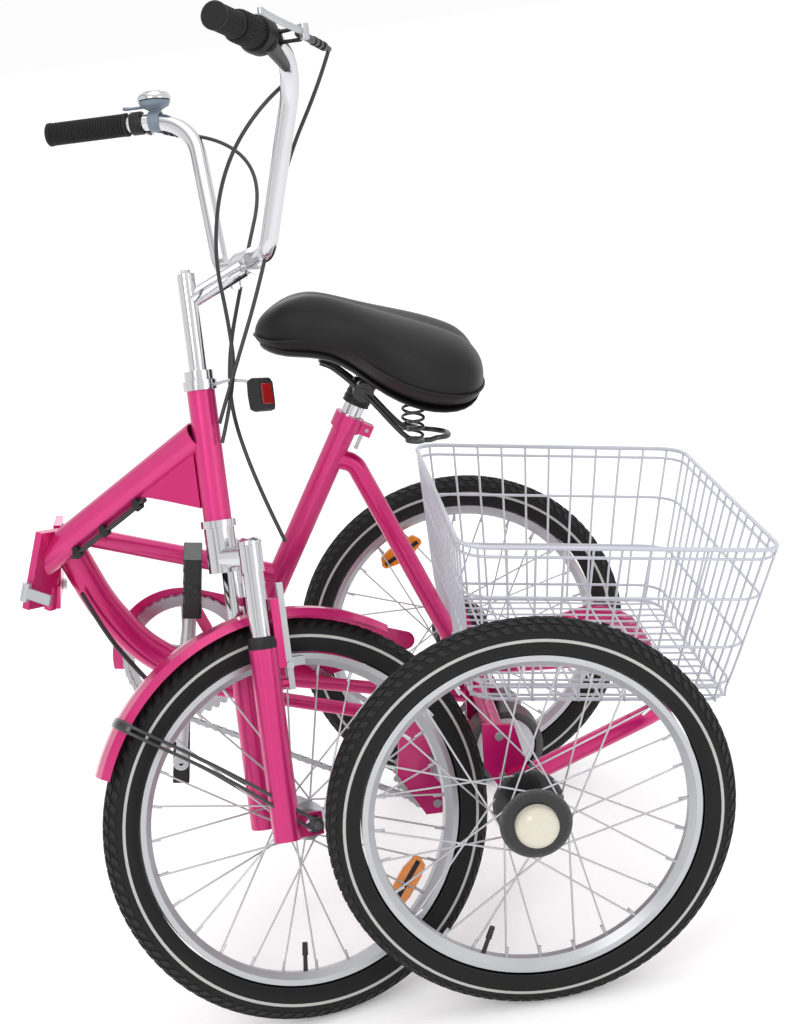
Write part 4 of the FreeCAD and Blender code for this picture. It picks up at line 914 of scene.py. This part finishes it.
tube_join = fork_point(495, 0)
tube_along = (Vector((600, 0, 229)) - tube_join).normalized()
tube_below = Vector((tube_along.z, 0, -tube_along.x))
tube_below = tube_below if -tube_along.x < 0 else -tube_below
for i, y in enumerate((-9, -15)):
    free_cable("main_tube_cable_%d" % i, FRONT, "front_frame", [
        tube_join + tube_along * d + tube_below * (20 + gap) + Vector((0, y, 0))
        for d, gap in ((118, 4), (160, 5), (205, 4), (250, 5))], replaces=("main_tube_cables",), lay="taut")
for i, y in enumerate((28, 34)):
    free_cable("rear_cable_%d" % i, REAR, "rear_frame", [
        Vector((556, y, 176)), Vector((524, y, 118)), Vector((482, y, 68)), Vector((440, y, 22))],
        replaces=("rear_cables",), lay="taut")


# ---------------------------------------------------------------- finishes of the frame's own pieces

SLOTS = {entry["node"]: entry["material_slot"] for entry in frame["record"]["subparts"]}
for name, piece in frame["nodes"].items():
    look = LOOKS[SLOTS[name]]
    if piece.data.materials:
        for i in range(len(piece.data.materials)):
            piece.data.materials[i] = look
    else:
        piece.data.materials.append(look)


# ---------------------------------------------------------------- floor, light and camera

def stage():
    floor = Shape()
    floor.block((-40, -40, -0.02), (40, 40, 0))
    data = bpy.data.meshes.new("floor")
    floor.mesh.to_mesh(data)
    floor.mesh.free()
    piece = bpy.data.objects.new("floor", data)
    paper = shader("floor_paper", (0.96, 0.96, 0.96), 0.0, 0.8, gloss=0.2, grain=60, bump=0.02, shade=0.01)
    glow = paper.node_tree.nodes["Principled BSDF"]
    glow.inputs["Emission Color"].default_value = (1, 1, 1, 1)
    glow.inputs["Emission Strength"].default_value = 0.16
    data.materials.append(paper)
    bpy.context.scene.collection.objects.link(piece)

    world = bpy.data.worlds.new("studio")
    bpy.context.scene.world = world
    world.use_nodes = True
    nodes, links = world.node_tree.nodes, world.node_tree.links
    where, parts, ramp = (nodes.new("ShaderNode" + kind) for kind in ("TexCoord", "SeparateXYZ", "ValToRGB"))
    links.new(where.outputs["Generated"], parts.inputs["Vector"])
    links.new(parts.outputs["X"], ramp.inputs["Fac"])
    stops = ((0.0, 1.0), (0.3, 0.62), (0.42, 1.0), (0.62, 1.05), (0.72, 0.45), (0.85, 1.0))
    for place, tone in stops[1:-1]:
        ramp.color_ramp.elements.new(place)
    for element, (place, tone) in zip(ramp.color_ramp.elements, stops):
        element.position = place
        element.color = (tone, tone, tone, 1)
    nodes["Background"].inputs["Strength"].default_value = 1.0
    seen, choice = nodes.new("ShaderNodeLightPath"), nodes.new("ShaderNodeMix")
    choice.data_type = "RGBA"
    choice.inputs["B"].default_value = (0.98, 0.98, 0.98, 1)
    links.new(seen.outputs["Is Camera Ray"], choice.inputs["Factor"])
    links.new(ramp.outputs["Color"], choice.inputs["A"])
    links.new(choice.outputs["Result"], nodes["Background"].inputs["Color"])
    bpy.context.scene.view_settings.view_transform = "Standard"

    for name, place, power, size in (("key", (1.6, 3.0, 2.6), 34, 1.6), ("fill", (-2.2, 2.4, 1.6), 8, 2.0),
                                     ("top", (0.0, 0.2, 3.2), 14, 2.4), ("back", (0.4, -2.8, 2.2), 12, 1.6)):
        lamp = bpy.data.lights.new(name, "AREA")
        lamp.energy = power
        lamp.shape = "DISK"
        lamp.size = size
        holder = bpy.data.objects.new(name, lamp)
        holder.location = place
        aim = Vector((0, 0, 0.5)) - holder.location
        holder.rotation_euler = aim.to_track_quat("-Z", "Y").to_euler()
        bpy.context.scene.collection.objects.link(holder)


def camera():
    """The photograph's view: a mild tele lens, a little above and ahead of square on."""
    azimuth, elevation, roll = (math.radians(a) for a in (5.86, 15.36, 2.29))
    target, away = Vector((149.7, 0, 283.0)), 2500
    back = Vector((math.sin(azimuth) * math.cos(elevation), math.cos(azimuth) * math.cos(elevation), math.sin(elevation)))
    right = (-back).cross(Vector((0, 0, 1))).normalized()
    up = right.cross(-back)
    rolled = right * math.cos(roll) + up * math.sin(roll)
    up = up * math.cos(roll) - right * math.sin(roll)
    view = REAR @ axes_at(target + back * away, rolled, up, back)
    view.translation *= 0.001
    data = bpy.data.cameras.new("camera")
    data.sensor_fit = "VERTICAL"
    data.sensor_height = 36
    data.lens = 66.217
    holder = bpy.data.objects.new("camera", data)
    holder.matrix_world = view
    bpy.context.scene.collection.objects.link(holder)
    bpy.context.scene.camera = holder


stage()
camera()
